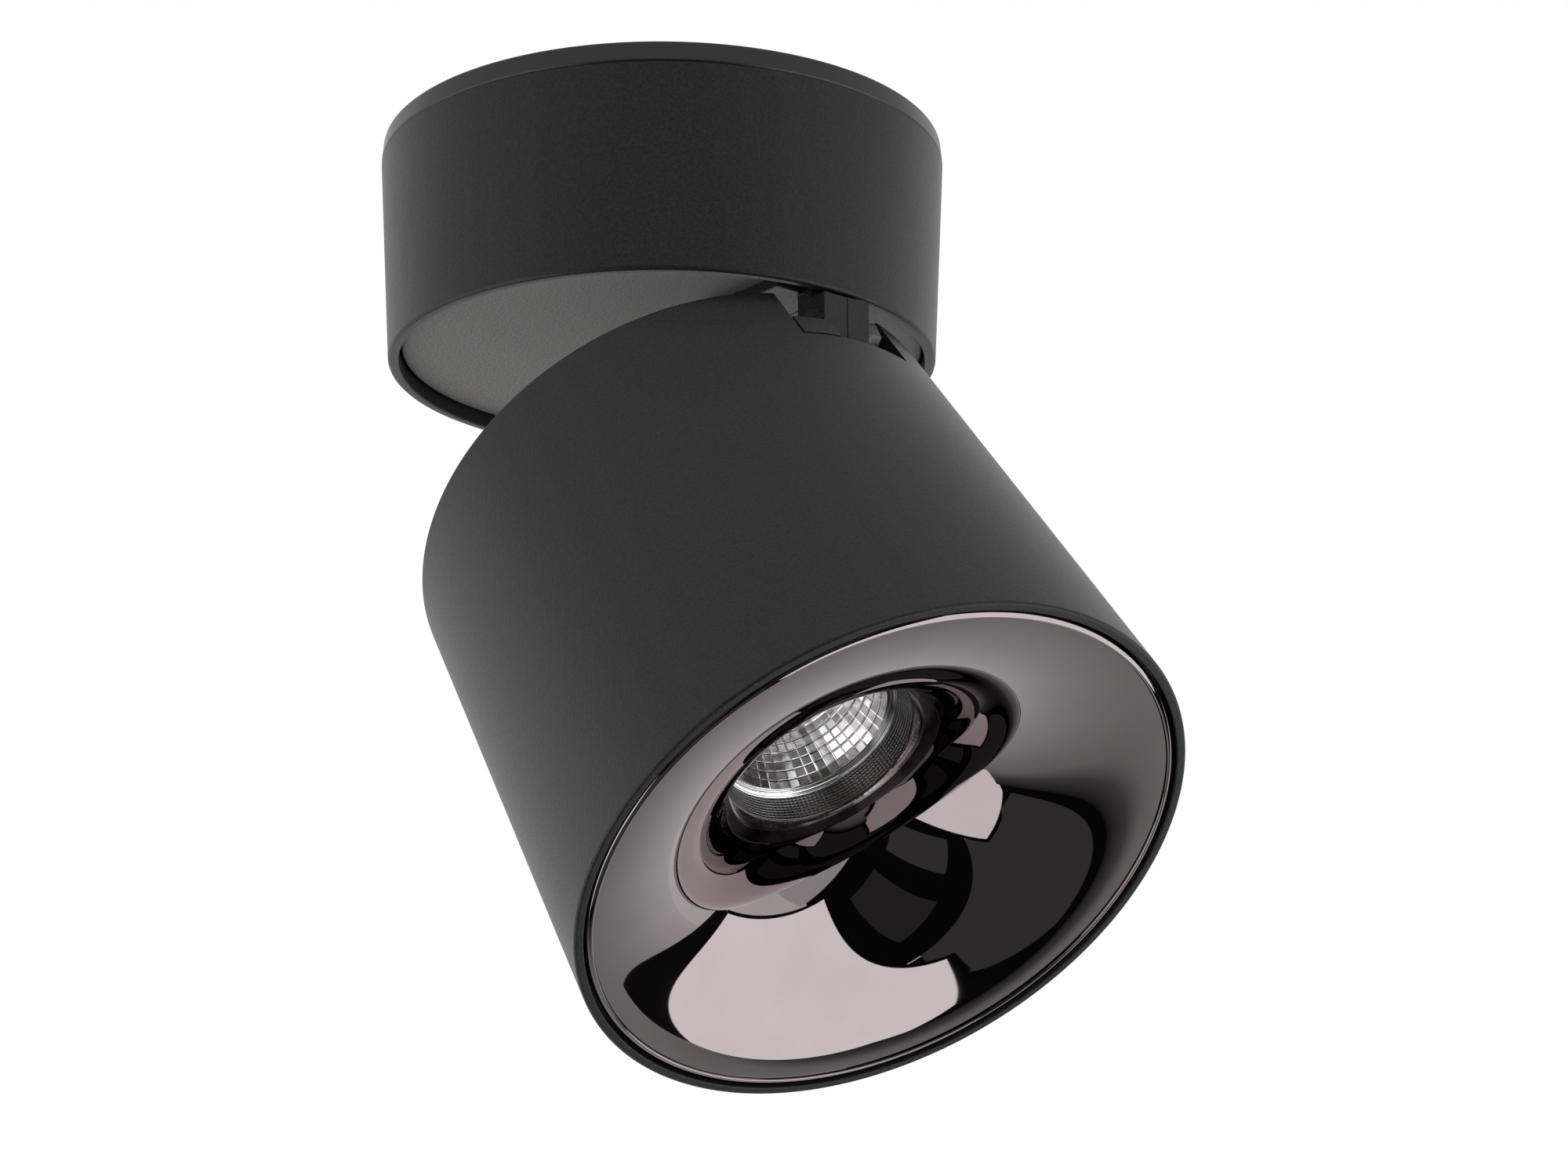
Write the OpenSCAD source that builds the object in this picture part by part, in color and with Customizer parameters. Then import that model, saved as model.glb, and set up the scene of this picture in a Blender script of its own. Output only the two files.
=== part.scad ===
// Surface mounted ceiling spotlight: a round base on the ceiling, a swivel disc
// recessed in its lower rim, and a tapered lamp head hinged to the disc's edge.
// Millimetres. The origin is the centre of the ceiling face, +Z points up into
// the ceiling and the hinge lies on +X. The head is drawn at its tilt.

/* [Base] */
// Diameter of the base at its widest, at the seam under the ceiling plate
base_d = 90; // [86:1:110]
// Height of the base from the ceiling to its lower rim
base_h = 36.5; // [34:0.5:50]
// Fall of the base's radius from the seam to the lower rim
base_draft = 1.6; // [0:0.1:2]
// Width of the lower rim, which is the casting's wall there
rim_w = 1.7; // [1.4:0.1:2.4]
// Thickness of the ceiling plate that shows above the seam
plate_h = 3.4; // [2.8:0.1:4.4]
// Fall of the ceiling plate's radius from the seam to the ceiling
plate_draft = 0.3; // [0:0.1:1]
// Depth of the swivel disc's face inside the lower rim
disc_recess = 2.3; // [1.9:0.1:3]
// Distance between the centres of the two ceiling screw slots
slot_spacing = 60; // [54:1:62]
// Radius of the cable hole in the middle of the ceiling plate
cable_hole_r = 6.5; // [5:0.5:8]

/* [Head] */
// Diameter of the head at its back edge
head_back_d = 86.9; // [85:0.1:100]
// Diameter of the head at its front rim
head_front_d = 96.4; // [94:0.1:120]
// Length of the head from its back edge to its front rim
head_len = 79; // [76:1:120]
// Wall of the head's casting
head_wall = 2.4; // [2:0.1:3]
// Gap between the folded head and the base's lower rim
head_gap = 2; // [1.7:0.1:4]

/* [Hinge] */
// Tilt at which the head is drawn, where 0 is folded shut
tilt = 36.25; // [0:0.25:90]
// Distance from the pin's axis to the head's back plane and outer wall
pin_inset = 3.3; // [3:0.1:3.9]
// Diameter of the hinge pin
pin_d = 3; // [2.4:0.1:3.2]
// Width of the bracket's cheek along the pin
cheek_a_w = 4.6; // [4:0.1:5.4]
// Width of the clamp cheek along the pin
cheek_b_w = 4.3; // [3.8:0.1:5]
// Thickness of the head's tongue between the cheeks
tongue_t = 2.3; // [1.6:0.1:2.8]
// Width of the pocket in the head's back edge that the hinge sits in
pocket_w = 20.6; // [20:0.1:24]
// Depth of that pocket along the head
pocket_d = 11.2; // [10:0.1:14]

/* [Reflector] */
// Width of the head's front rim
rim_front_w = 1.45; // [1.2:0.05:2]
// Radius of the trumpet's curve from lip to throat
trumpet_r = 32.15; // [30:0.05:40]
// Radius of the throat
throat_r = 15.4; // [14.5:0.1:17]
// Depth of the throat behind the front rim
throat_s = 25; // [22:0.5:28]
// Wall of the trumpet
trumpet_wall = 1.6; // [1.2:0.1:2]
// Radius of the silver reflector's mouth
mouth_r = 14; // [12:0.1:14.4]
// Depth of the silver reflector's mouth behind the front rim
mouth_s = 30; // [29:0.5:32]
// Number of facet columns round the silver reflector
facet_columns = 48; // [24:2:72]
// Number of facet rows up the silver reflector
facet_rows = 12; // [6:1:16]

/* [Hidden] */
$fn = 96;
hex_fn = 6;

// Clearances and one overrun for cuts
over = 1;
fit_gap = 0.15;
run_gap = 0.05;
slide_gap = 0.35;
edge = 0.4;
drive_share = 0.8;

// Base casting
seam_r = base_d / 2;
rim_r = seam_r - base_draft;
base_in_r = rim_r - rim_w;
disc_t = 2.5;
ring_t = 0.6;
ring_out_share = 0.9;
ring_in_share = 0.7;
floor_t = 2.2;
disc_z = -base_h + disc_recess;
ring_z = disc_z + disc_t;
floor_z = ring_z + ring_t;
floor_top_z = floor_z + floor_t;

// Ceiling plate and its bayonet skirt
plate_z = -plate_h;
skirt_t = 1.8;
skirt_h = 7;
skirt_r = base_in_r - fit_gap;
slot_w = 4.5;
slot_len = 10;
bayonet_count = 3;
bayonet_r = 1.3;
bayonet_reach = 2.2;
bayonet_gap = 0.2;
bayonet_turn = 18;
bayonet_z = plate_z - skirt_h / 2;
bayonet_first = 20;
lock_angle = 200;
lock_r = 1.5;
grommet_wall = 1.4;
grommet_lip = 1.2;
plate_skin = 0.8;
rib_count = 6;
rib_first = 50;
rib_reach = 1.6;
rib_t = 1.6;

// Terminal block and driver, hung from the ceiling plate
boss_gap = 0.1;
term_x = 21;
term_w = 11;
term_l = 24;
term_h = 12;
term_ear = 5;
term_poles = 3;
term_hole_r = 1.8;
term_screw_r = 1.5;
driver_l = 44;
driver_h = 16;
driver_wall = 1.4;
driver_round = 2.4;
driver_board_t = 1.2;
driver_part_gap = 0.8;
driver_ear = 5.5;
driver_ear_t = 1.6;
driver_in_l = driver_l - 2 * (driver_ear + driver_wall);
driver_case_h = driver_h - driver_wall;
board_z = plate_z - driver_wall - driver_part_gap - driver_board_t;
part_share = 0.28;
tall_share = 0.8;
can_share = 0.16;
chip_share = 0.3;
small_screw_r = 1.25;
small_head_r = 2.3;
small_head_h = 1.4;

// Swivel pivot
stem_r = 5;
stem_bore_r = 3.6;
stem_flange_r = 8;
stem_flange_t = 1;
stem_boss = 3;
spring_split = 8;
spring_t = 0.8;
stop_t = 1.2;
nut_h = 3.6;
nut_r = 8;
stem_over = 0.8;
spring_z = floor_top_z;
stop_z = spring_z + spring_t;
nut_z = stop_z + stop_t;
stem_top_z = nut_z + nut_h + stem_over;
key_depth = 0.9;
stop_post_r = 1.5;
stop_post_at = 20;
stop_tab_w = 3;
stop_ring_r = 8.5;

// Driver's width, from the pivot's nut to the skirt
driver_gap = 0.6;
driver_nut_gap = 1.5;
driver_in_x = nut_r + driver_nut_gap;
driver_room_r = skirt_r - skirt_t - driver_gap - driver_round;
driver_out_x = sqrt(pow(driver_room_r, 2) - pow(driver_l / 2 - driver_round, 2)) + driver_round;
driver_w = driver_out_x - driver_in_x;
driver_x = -(driver_in_x + driver_out_x) / 2;
driver_in_w = driver_w - 2 * driver_wall;

// Hinge, in a frame at the pin's axis that turns with the head
head_back_r = head_back_d / 2;
head_front_r = head_front_d / 2;
rim_inset = 1.55;
hinge_x = base_in_r - rim_inset;
arm_x = head_back_r - pin_inset;
hinge_z = -(base_h + head_gap + pin_inset);
pin_r = pin_d / 2;
knuckle_r = pin_inset - 2 * run_gap;
seam_y = 1.6;
cheek_a_y = seam_y - cheek_a_w;
cheek_b_y = seam_y + run_gap;
cheek_b_end = cheek_b_y + cheek_b_w;
tongue_r = 2.3;
tongue_mid = seam_y + run_gap / 2;
slot_d = tongue_t / 2 + run_gap / 2;
block_top = disc_z - hinge_z;
lug_in = 0.5;
lug_out = sqrt(pow(base_in_r - slide_gap - lug_in, 2) - pow(cheek_b_end, 2)) - hinge_x;
lip_z = -base_h - lug_in - hinge_z;
foot_t = 1.8;
foot_l = 17;
foot_w = 16;
foot_run = 1.4;
foot_x0 = hinge_x - knuckle_r + foot_run - foot_l;
bracket_screw_x = foot_x0 + foot_l / 5;
bracket_screw_y = 5;
bracket_screw_r = 1.5;
washer_t = 0.7;
washer_r = 2.9;
pin_nut_t = 2;
pin_nut_r = 2.9;
pin_over = 0.4;
pin_head_r = 2.7;
arm_foot_gap = 0.4;
arm_foot_side = 0.7;
arm_screw_y = 6;
arm_screw_bite = 1.3;
leaf_gap = 0.45;
leaf_run_gap = 0.25;
leaf_len = 4.2;

// Head casting
pocket_x = arm_x - knuckle_r - arm_foot_gap - foot_t;
rear_hole_r = 4.5;
pocket_wall = 1.6;
seat_d = 2.6;
shadow_gap = 0.45;
seat_r = head_front_r - rim_front_w;
head_in_back_r = head_back_r - head_wall;
head_in_front_r = head_front_r - head_wall;
cover_t = 2;
cover_inset = 0.6;
boss_count = 3;
boss_r = 3.8;
boss_circle_r = 36;
boss_first = 60;
pilot_r = 1.25;
pilot_depth = 7;

// Heat sink and light source
sink_z = 20;
sink_t = 4.5;
fin_count = 9;
fin_t = 1.6;
fin_reach = 31;
fin_clear = 3.5;
fin_z = cover_inset + cover_t + fin_clear;
sink_gap = 0.6;
wire_hole_r = 2.2;
wire_hole_at = 24;
cob_w = 19;
cob_t = 1.2;
phosphor_r = 6.4;
phosphor_t = 0.5;
holder_r = 18;
holder_h = 4;
holder_lip = 0.5;
holder_mouth = 2;
cob_screw_at = 15;
cup_r = 7.6;
cup_wall = 1;
cup_gap = 0.3;
cup_bow = 0.55;
cup_z0 = sink_z + sink_t + cob_t + phosphor_t + cup_gap;
baffle_rows = 5;

// Trumpet insert, with depths s measured back from the front rim
insert_r = seat_r - shadow_gap;
bead_r = 0.5;
groove_w = 0.2;
bead_s = 0.15;
lip_s = 0.6;
groove_s = 0.9;
lip_r = insert_r - 2 * bead_r - groove_w;
land_step = 0.6;
land_s = seat_d + land_step;
land_w = 6;
land_in_r = insert_r - land_w;
chord = [throat_r - lip_r, throat_s - lip_s];
chord_len = norm(chord);
chord_mid = [(throat_r + lip_r) / 2, (throat_s + lip_s) / 2];
chord_up = sqrt(trumpet_r * trumpet_r - chord_len * chord_len / 4) / chord_len;
curve_r = chord_mid[0] + chord[1] * chord_up;
curve_s = chord_mid[1] - chord[0] * chord_up;
baffle_wall = 1.5;
grip_share = 0.5;
spring_foot_gap = 0.8;
spring_tip = 1.6;
spring_count = 3;
spring_angle = 14;
spring_strip_t = 0.5;
spring_leg = 11;
spring_first = 30;

black_paint = "#232324";
black_plastic = "#1a1a1b";

// A ring or solid of revolution from its outline of radii and heights
module revolve(points) {
    rotate_extrude()
        polygon(points);
}

// A round tube
module tube(r_out, r_in, h) {
    difference() {
        cylinder(r = r_out, h = h);
        translate([0, 0, -over])
            cylinder(r = r_in, h = h + 2 * over);
    }
}

// A flat bar with round ends, centred, along Y
module slot_bar(w, len, h) {
    straight = len - w;
    translate([-w / 2, -straight / 2, 0])
        cube([w, straight, h]);
    for (side = [-1, 1])
        translate([0, side * straight / 2, 0])
            cylinder(r = w / 2, h = h);
}

// A box with round upright edges, centred in X and Y
module round_box(w, l, h, r) {
    translate([-w / 2 + r, -l / 2, 0])
        cube([w - 2 * r, l, h]);
    translate([-w / 2, -l / 2 + r, 0])
        cube([w, l - 2 * r, h]);
    for (x = [-1, 1], y = [-1, 1])
        translate([x * (w / 2 - r), y * (l / 2 - r), 0])
            cylinder(r = r, h = h);
}

// Copies spread evenly round Z
module around(count, first) {
    for (i = [0 : count - 1])
        rotate([0, 0, first + i * 360 / count])
            children();
}

// A pan head screw whose head rests on Z = 0 and whose shank points down
module pan_screw(r, len, head_r, head_h) {
    translate([0, 0, -len])
        cylinder(r = r, h = len);
    difference() {
        cylinder(r = head_r, h = head_h);
        translate([0, 0, head_h / 2])
            cylinder(r = r * drive_share, h = head_h, $fn = hex_fn);
    }
}

// A countersunk screw whose head is flush with Z = 0, with its shank down
module flat_screw(r, len) {
    difference() {
        union() {
            translate([0, 0, -len])
                cylinder(r = r, h = len);
            translate([0, 0, -r])
                cylinder(r1 = r, r2 = 2 * r, h = r);
        }
        translate([0, 0, -r * drive_share])
            cylinder(r = r * drive_share, h = r, $fn = hex_fn);
    }
}

// The hole and the countersink that a flat screw sits in
module flat_screw_hole(r, len) {
    translate([0, 0, -len])
        cylinder(r = r + boss_gap, h = len);
    translate([0, 0, -r - boss_gap])
        cylinder(r1 = r + boss_gap, r2 = 2 * r + boss_gap, h = r + boss_gap);
    translate([0, 0, -boss_gap])
        cylinder(r = 2 * r + boss_gap, h = over);
}

// Frame at the hinge pin, turned with the head: +X out, +Z to the head's back
module in_hinge() {
    translate([hinge_x, 0, hinge_z])
        rotate([0, -tilt, 0])
            children();
}

// Frame of the head: the origin is its back centre and +Z points forward
module in_head() {
    in_hinge()
        translate([-arm_x, 0, pin_inset])
            rotate([180, 0, 0])
                children();
}

// Radius of the head's inner wall at a height above its back plane
function inner_r(z) = head_in_back_r + (head_in_front_r - head_in_back_r) * z / head_len;

// Ceiling plate: the visible disc, its bayonet skirt and the fixing slots
module mounting_plate() {
    color(black_plastic)
        difference() {
            union() {
                revolve([[0, plate_z], [seam_r - edge / 2, plate_z], [seam_r, plate_z + edge / 2],
                    [seam_r - plate_draft, 0], [0, 0]]);
                translate([0, 0, plate_z - skirt_h])
                    tube(skirt_r, skirt_r - skirt_t, skirt_h + edge);
            }
            for (side = [-1, 1])
                translate([0, side * slot_spacing / 2, plate_z - over])
                    slot_bar(slot_w, slot_len, plate_h + 2 * over);
            translate([0, 0, plate_z - over])
                cylinder(r = cable_hole_r, h = plate_h + 2 * over);
            around(bayonet_count, bayonet_first)
                bayonet_cut();
            plate_screw_places()
                translate([0, 0, -over])
                    cylinder(r = small_screw_r, h = plate_h - plate_skin + over);
        }
}

// Cut for a bayonet pin in the skirt: a level run and an entry from below
module bayonet_cut() {
    w = bayonet_r + bayonet_gap;
    entry = bayonet_r + boss_gap;
    end_angle = asin(w / (skirt_r - skirt_t));
    rotate([0, 0, -end_angle])
        rotate_extrude(angle = bayonet_turn + 2 * end_angle)
            translate([skirt_r - skirt_t - over, bayonet_z - w])
                square([skirt_t + 2 * over, 2 * w]);
    rotate([0, 0, bayonet_turn])
        translate([skirt_r - skirt_t - 2 * over, -entry, plate_z - skirt_h - over])
            cube([skirt_t + 4 * over, 2 * entry, skirt_h / 2 + over]);
}

// Rubber grommet in the cable hole of the ceiling plate
module cable_grommet() {
    color("#2a2a2a")
        revolve([[cable_hole_r - grommet_wall, plate_z - grommet_lip],
            [cable_hole_r + grommet_lip, plate_z - grommet_lip],
            [cable_hole_r + grommet_lip, plate_z],
            [cable_hole_r, plate_z],
            [cable_hole_r, -edge],
            [cable_hole_r - grommet_wall, -edge]]);
}

// Places of the screws that hold the driver and the terminal block to the plate
module plate_screw_places() {
    for (side = [-1, 1]) {
        translate([driver_x, side * (driver_l - driver_ear) / 2, plate_z])
            children();
        translate([term_x, side * (term_l + term_ear) / 2, plate_z])
            children();
    }
}

// Mains terminal block with one wire tunnel and one screw tower per pole
module terminal_block() {
    pitch = term_l / term_poles;
    color("#e8e6df")
        difference() {
            union() {
                translate([term_x - term_w / 2, -term_l / 2, plate_z - term_h])
                    cube([term_w, term_l, term_h]);
                translate([term_x - term_ear, -term_l / 2 - term_ear, plate_z - driver_ear_t])
                    cube([2 * term_ear, term_l + 2 * term_ear, driver_ear_t]);
            }
            plate_screw_places()
                translate([0, 0, -driver_ear_t - over])
                    cylinder(r = small_screw_r + boss_gap, h = driver_ear_t + 2 * over);
            for (i = [0 : term_poles - 1])
                translate([term_x, (i - (term_poles - 1) / 2) * pitch, plate_z - term_h]) {
                    translate([-term_w, 0, term_h / 2])
                        rotate([0, 90, 0])
                            cylinder(r = term_hole_r, h = 2 * term_w);
                    translate([0, 0, -over])
                        cylinder(r = term_screw_r, h = term_h / 2 + over);
                }
            for (i = [0 : term_poles - 2])
                translate([term_x - term_w, (i - (term_poles - 2) / 2) * pitch - edge,
                    plate_z - term_h - over])
                    cube([2 * term_w, 2 * edge, term_h / 3 + over]);
        }
}

// Brass clamp screws of the terminal block
module terminal_clamps() {
    pitch = term_l / term_poles;
    color("#b08d3c")
        for (i = [0 : term_poles - 1])
            translate([term_x, (i - (term_poles - 1) / 2) * pitch,
                plate_z - term_h + edge])
                cylinder(r = term_screw_r, h = term_h / 2 - term_hole_r);
}

// Driver case, open downwards, on a flange with a screw hole at each end
module driver_case() {
    color("#d9d9d6")
        difference() {
            union() {
                translate([driver_x, 0, plate_z - driver_case_h])
                    round_box(driver_w, driver_l - 2 * driver_ear, driver_case_h, driver_round);
                translate([driver_x, 0, plate_z - driver_ear_t])
                    round_box(driver_w, driver_l, driver_ear_t, driver_round);
            }
            translate([driver_x, 0, plate_z - driver_case_h - over])
                round_box(driver_in_w, driver_in_l, driver_case_h - driver_wall + over, driver_round / 2);
            plate_screw_places()
                translate([0, 0, -driver_ear_t - over])
                    cylinder(r = small_screw_r + boss_gap, h = driver_ear_t + 2 * over);
        }
}

// Driver circuit board with its transformer, capacitors and chip
module driver_board() {
    deep = driver_case_h - driver_wall - driver_board_t - 2 * driver_part_gap;
    translate([driver_x, 0, board_z]) {
        color("#2f6b3a")
            round_box(driver_in_w, driver_in_l, driver_board_t, driver_round / 2);
        color("#c9a227")
            translate([-driver_in_w * part_share, -driver_in_l * part_share, -deep * tall_share])
                cube([driver_in_w * part_share * 2, driver_in_l * part_share, deep * tall_share]);
        color("#30343a")
            for (x = [-1, 1])
                translate([x * driver_in_w * part_share * tall_share, driver_in_l * part_share, -deep * tall_share])
                    cylinder(r = driver_in_w * can_share, h = deep * tall_share);
        color("#17181a")
            for (x = [-1, 1])
                translate([-driver_in_w * can_share, x * driver_in_l * chip_share - driver_in_w * can_share,
                    driver_board_t])
                    cube([driver_in_w * can_share * 2, driver_in_w * can_share * 2, driver_part_gap / 2]);
    }
}

// Lid that closes the driver case from below
module driver_lid() {
    color("#cfcfcb")
        translate([driver_x, 0, plate_z - driver_h])
            round_box(driver_w, driver_l - 2 * driver_ear, driver_wall, driver_round);
}

// Pan head screws that hold the driver and the terminal block to the plate
module plate_screws() {
    color("#b9babc")
        plate_screw_places()
            translate([0, 0, -driver_ear_t])
                rotate([180, 0, 0])
                    pan_screw(small_screw_r, driver_ear_t + plate_h - plate_skin - edge, small_head_r, small_head_h);
}

// Base casting: tapered wall, floor over the swivel disc, bayonet pins, stop post
module base_housing() {
    color(black_paint)
        difference() {
            union() {
                revolve([[base_in_r, -base_h], [rim_r - edge, -base_h], [rim_r, -base_h + edge],
                    [seam_r, plate_z - edge / 2], [seam_r - edge / 2, plate_z], [base_in_r, plate_z]]);
                translate([0, 0, floor_z])
                    cylinder(r = base_in_r + edge, h = floor_t);
                translate([0, 0, floor_z])
                    cylinder(r = stop_ring_r + stem_boss, h = floor_t);
                rotate([0, 0, 180])
                    translate([stop_post_at, 0, floor_z])
                        cylinder(r = stop_post_r, h = floor_t + spring_t + stop_t);
                around(bayonet_count, bayonet_first)
                    translate([base_in_r - bayonet_reach, 0, bayonet_z])
                        rotate([0, 90, 0])
                            cylinder(r = bayonet_r, h = bayonet_reach + edge);
                around(rib_count, rib_first)
                    translate([base_in_r - rib_reach, -rib_t / 2, floor_top_z - edge])
                        cube([rib_reach + edge, rib_t, -floor_top_z - plate_h - skirt_h - over]);
            }
            translate([0, 0, floor_z - over])
                cylinder(r = stem_r + run_gap, h = floor_t + 2 * over);
            rotate([0, 0, lock_angle])
                translate([base_in_r - over, 0, bayonet_z])
                    rotate([0, 90, 0])
                        cylinder(r = lock_r + boss_gap, h = seam_r - base_in_r + 2 * over);
        }
}

// Grub screw that locks the bayonet, at the back of the base
module lock_screw() {
    len = seam_r - skirt_r - base_draft;
    color("#3a3b3d")
        rotate([0, 0, lock_angle])
            translate([skirt_r + run_gap, 0, bayonet_z])
                rotate([0, 90, 0])
                    difference() {
                        cylinder(r = lock_r, h = len);
                        translate([0, 0, len / 2])
                            cylinder(r = lock_r * drive_share * drive_share, h = len, $fn = hex_fn);
                    }
}

// Nylon ring between the floor and the swivel disc
module friction_ring() {
    color("#d8d4c4")
        translate([0, 0, ring_z])
            tube(base_in_r * ring_out_share, base_in_r * ring_in_share, ring_t);
}

// Swivel disc recessed in the base's lower rim
module swivel_disc() {
    r = base_in_r - slide_gap;
    color("#3a3a3b")
        difference() {
            revolve([[stem_flange_r, disc_z], [r - edge, disc_z], [r, disc_z + edge],
                [r, ring_z], [stem_r, ring_z], [stem_r, disc_z + stem_flange_t],
                [stem_flange_r, disc_z + stem_flange_t]]);
            for (side = [-1, 1])
                translate([bracket_screw_x, side * bracket_screw_y, ring_z])
                    flat_screw_hole(bracket_screw_r, disc_t + over);
        }
}

// Hollow pivot stem that carries the leads, its flange flush in the disc
module pivot_stem() {
    key = stem_r - key_depth;
    color("#8d8f92")
        difference() {
            union() {
                translate([0, 0, disc_z])
                    cylinder(r = stem_r, h = floor_top_z - disc_z);
                translate([0, 0, disc_z])
                    cylinder(r = stem_flange_r, h = stem_flange_t);
                intersection() {
                    translate([0, 0, floor_top_z - edge])
                        cylinder(r = stem_r, h = stem_top_z - floor_top_z + edge);
                    translate([-key, -seam_r, floor_top_z - edge])
                        cube([2 * key, base_d, base_h]);
                }
            }
            translate([0, 0, -base_h])
                cylinder(r = stem_bore_r, h = base_h);
        }
}

// Spring washer that keeps the swivel under friction
module spring_washer() {
    color("#c9cacc")
        translate([0, 0, spring_z])
            rotate([0, 0, spring_split / 2])
                rotate_extrude(angle = 360 - spring_split)
                    translate([stem_r + boss_gap, 0])
                        square([stop_ring_r - stem_r - boss_gap, spring_t]);
}

// Keyed washer whose tab meets the stop post at each end of the swivel's turn
module stop_washer() {
    key = stem_r - key_depth + boss_gap;
    color("#b4b6b9")
        translate([0, 0, stop_z])
            difference() {
                union() {
                    cylinder(r = stop_ring_r, h = stop_t);
                    translate([0, -stop_tab_w / 2, 0])
                        cube([stop_post_at + stop_post_r, stop_tab_w, stop_t]);
                }
                intersection() {
                    translate([0, 0, -over])
                        cylinder(r = stem_r + boss_gap, h = stop_t + 2 * over);
                    translate([-key, -seam_r, -over])
                        cube([2 * key, base_d, stop_t + 2 * over]);
                }
            }
}

// Hexagon nut that closes the pivot
module stem_nut() {
    color("#b4b6b9")
        translate([0, 0, nut_z])
            difference() {
                cylinder(r = nut_r, h = nut_h, $fn = hex_fn);
                translate([0, 0, -over])
                    cylinder(r = stem_r + boss_gap, h = nut_h + 2 * over);
            }
}

// Side view of the hinge block, with the pin's axis as its origin
module block_profile() {
    circle(r = knuckle_r);
    translate([-knuckle_r, 0])
        square([knuckle_r + lug_out, block_top]);
    translate([-knuckle_r, 0])
        square([2 * knuckle_r, lip_z]);
    translate([0, -knuckle_r])
        square([knuckle_r, knuckle_r + lip_z]);
}

// Side view of the room the tongue sweeps, whose two flanks stop it
module slot_profile() {
    w = tongue_r + boss_gap;
    circle(r = w);
    translate([-2 * knuckle_r, -w])
        square([2 * knuckle_r, 2 * w]);
    translate([-w, -2 * knuckle_r])
        square([2 * w, 2 * knuckle_r]);
}

// One cheek of the hinge block between two places along the pin, with its foot
module cheek(y0, y1, foot_y0, foot_y1, slot_y0, slot_y1) {
    difference() {
        union() {
            translate([foot_x0, foot_y0, disc_z - foot_t])
                cube([foot_l, foot_y1 - foot_y0, foot_t]);
            translate([hinge_x, y1, hinge_z])
                rotate([90, 0, 0])
                    linear_extrude(height = y1 - y0)
                        block_profile();
        }
        translate([hinge_x, slot_y1, hinge_z])
            rotate([90, 0, 0])
                linear_extrude(height = slot_y1 - slot_y0)
                    slot_profile();
        translate([hinge_x, seam_r, hinge_z])
            rotate([90, 0, 0])
                cylinder(r = pin_r, h = base_d);
        for (side = [-1, 1])
            translate([bracket_screw_x, side * bracket_screw_y, disc_z - foot_t - over])
                cylinder(r = bracket_screw_r, h = foot_t + 2 * over);
    }
}

// Hinge bracket under the disc, with the cheek that takes the pin's head
module hinge_bracket() {
    color(black_paint)
        difference() {
            cheek(cheek_a_y, seam_y, -foot_w / 2, seam_y, seam_y - slot_d, seam_y + over);
            translate([hinge_x, cheek_a_y, hinge_z])
                rotate([-90, 0, 0])
                    cylinder(r1 = pin_head_r, r2 = pin_r, h = pin_head_r - pin_r);
        }
}

// Clamp cheek that closes the hinge block and takes the pin's nut
module hinge_cheek() {
    color(black_paint)
        cheek(cheek_b_y, cheek_b_end, cheek_b_y, foot_w / 2, seam_y - over, cheek_b_y + slot_d);
}

// Two countersunk screws that hold the hinge block, their heads above the disc
module bracket_screws() {
    color("#b9babc")
        for (side = [-1, 1])
            translate([bracket_screw_x, side * bracket_screw_y, ring_z])
                flat_screw(bracket_screw_r, disc_t + foot_t);
}

// Hinge pin: a countersunk screw through both cheeks, on which the tongue turns
module hinge_pin() {
    color("#55575a")
        translate([hinge_x, cheek_a_y, hinge_z])
            rotate([-90, 0, 0])
                difference() {
                    union() {
                        cylinder(r = pin_r, h = cheek_b_end + washer_t + pin_nut_t + pin_over - cheek_a_y);
                        cylinder(r1 = pin_head_r, r2 = pin_r, h = pin_head_r - pin_r);
                    }
                    translate([0, 0, -over])
                        cylinder(r = pin_r * drive_share, h = over + pin_head_r - pin_r, $fn = hex_fn);
                }
}

// Spring washer between the clamp cheek and the nut
module pin_washer() {
    color("#9a9ca0")
        translate([hinge_x, cheek_b_end, hinge_z])
            rotate([-90, 0, 0])
                tube(washer_r, pin_r + run_gap, washer_t);
}

// Nut on the pin's far end, which sets the hinge's friction
module pin_nut() {
    color("#9a9ca0")
        translate([hinge_x, cheek_b_end + washer_t, hinge_z])
            rotate([-90, 0, 0])
                difference() {
                    cylinder(r = pin_nut_r, h = pin_nut_t, $fn = hex_fn);
                    translate([0, 0, -over])
                        cylinder(r = pin_r, h = pin_nut_t + 2 * over);
                }
}

// Leaf that fills the pocket beside the hinge block, flush with the head's wall
module arm_leaf() {
    side = leaf_run_gap - cheek_a_y;
    translate([-arm_x, 0, pin_inset])
        rotate([180, 0, 0])
            intersection() {
                head_form();
                translate([pocket_x, side, pocket_d - leaf_gap - leaf_len])
                    cube([head_front_r, pocket_w / 2 - leaf_gap - side, leaf_len]);
            }
}

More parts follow.
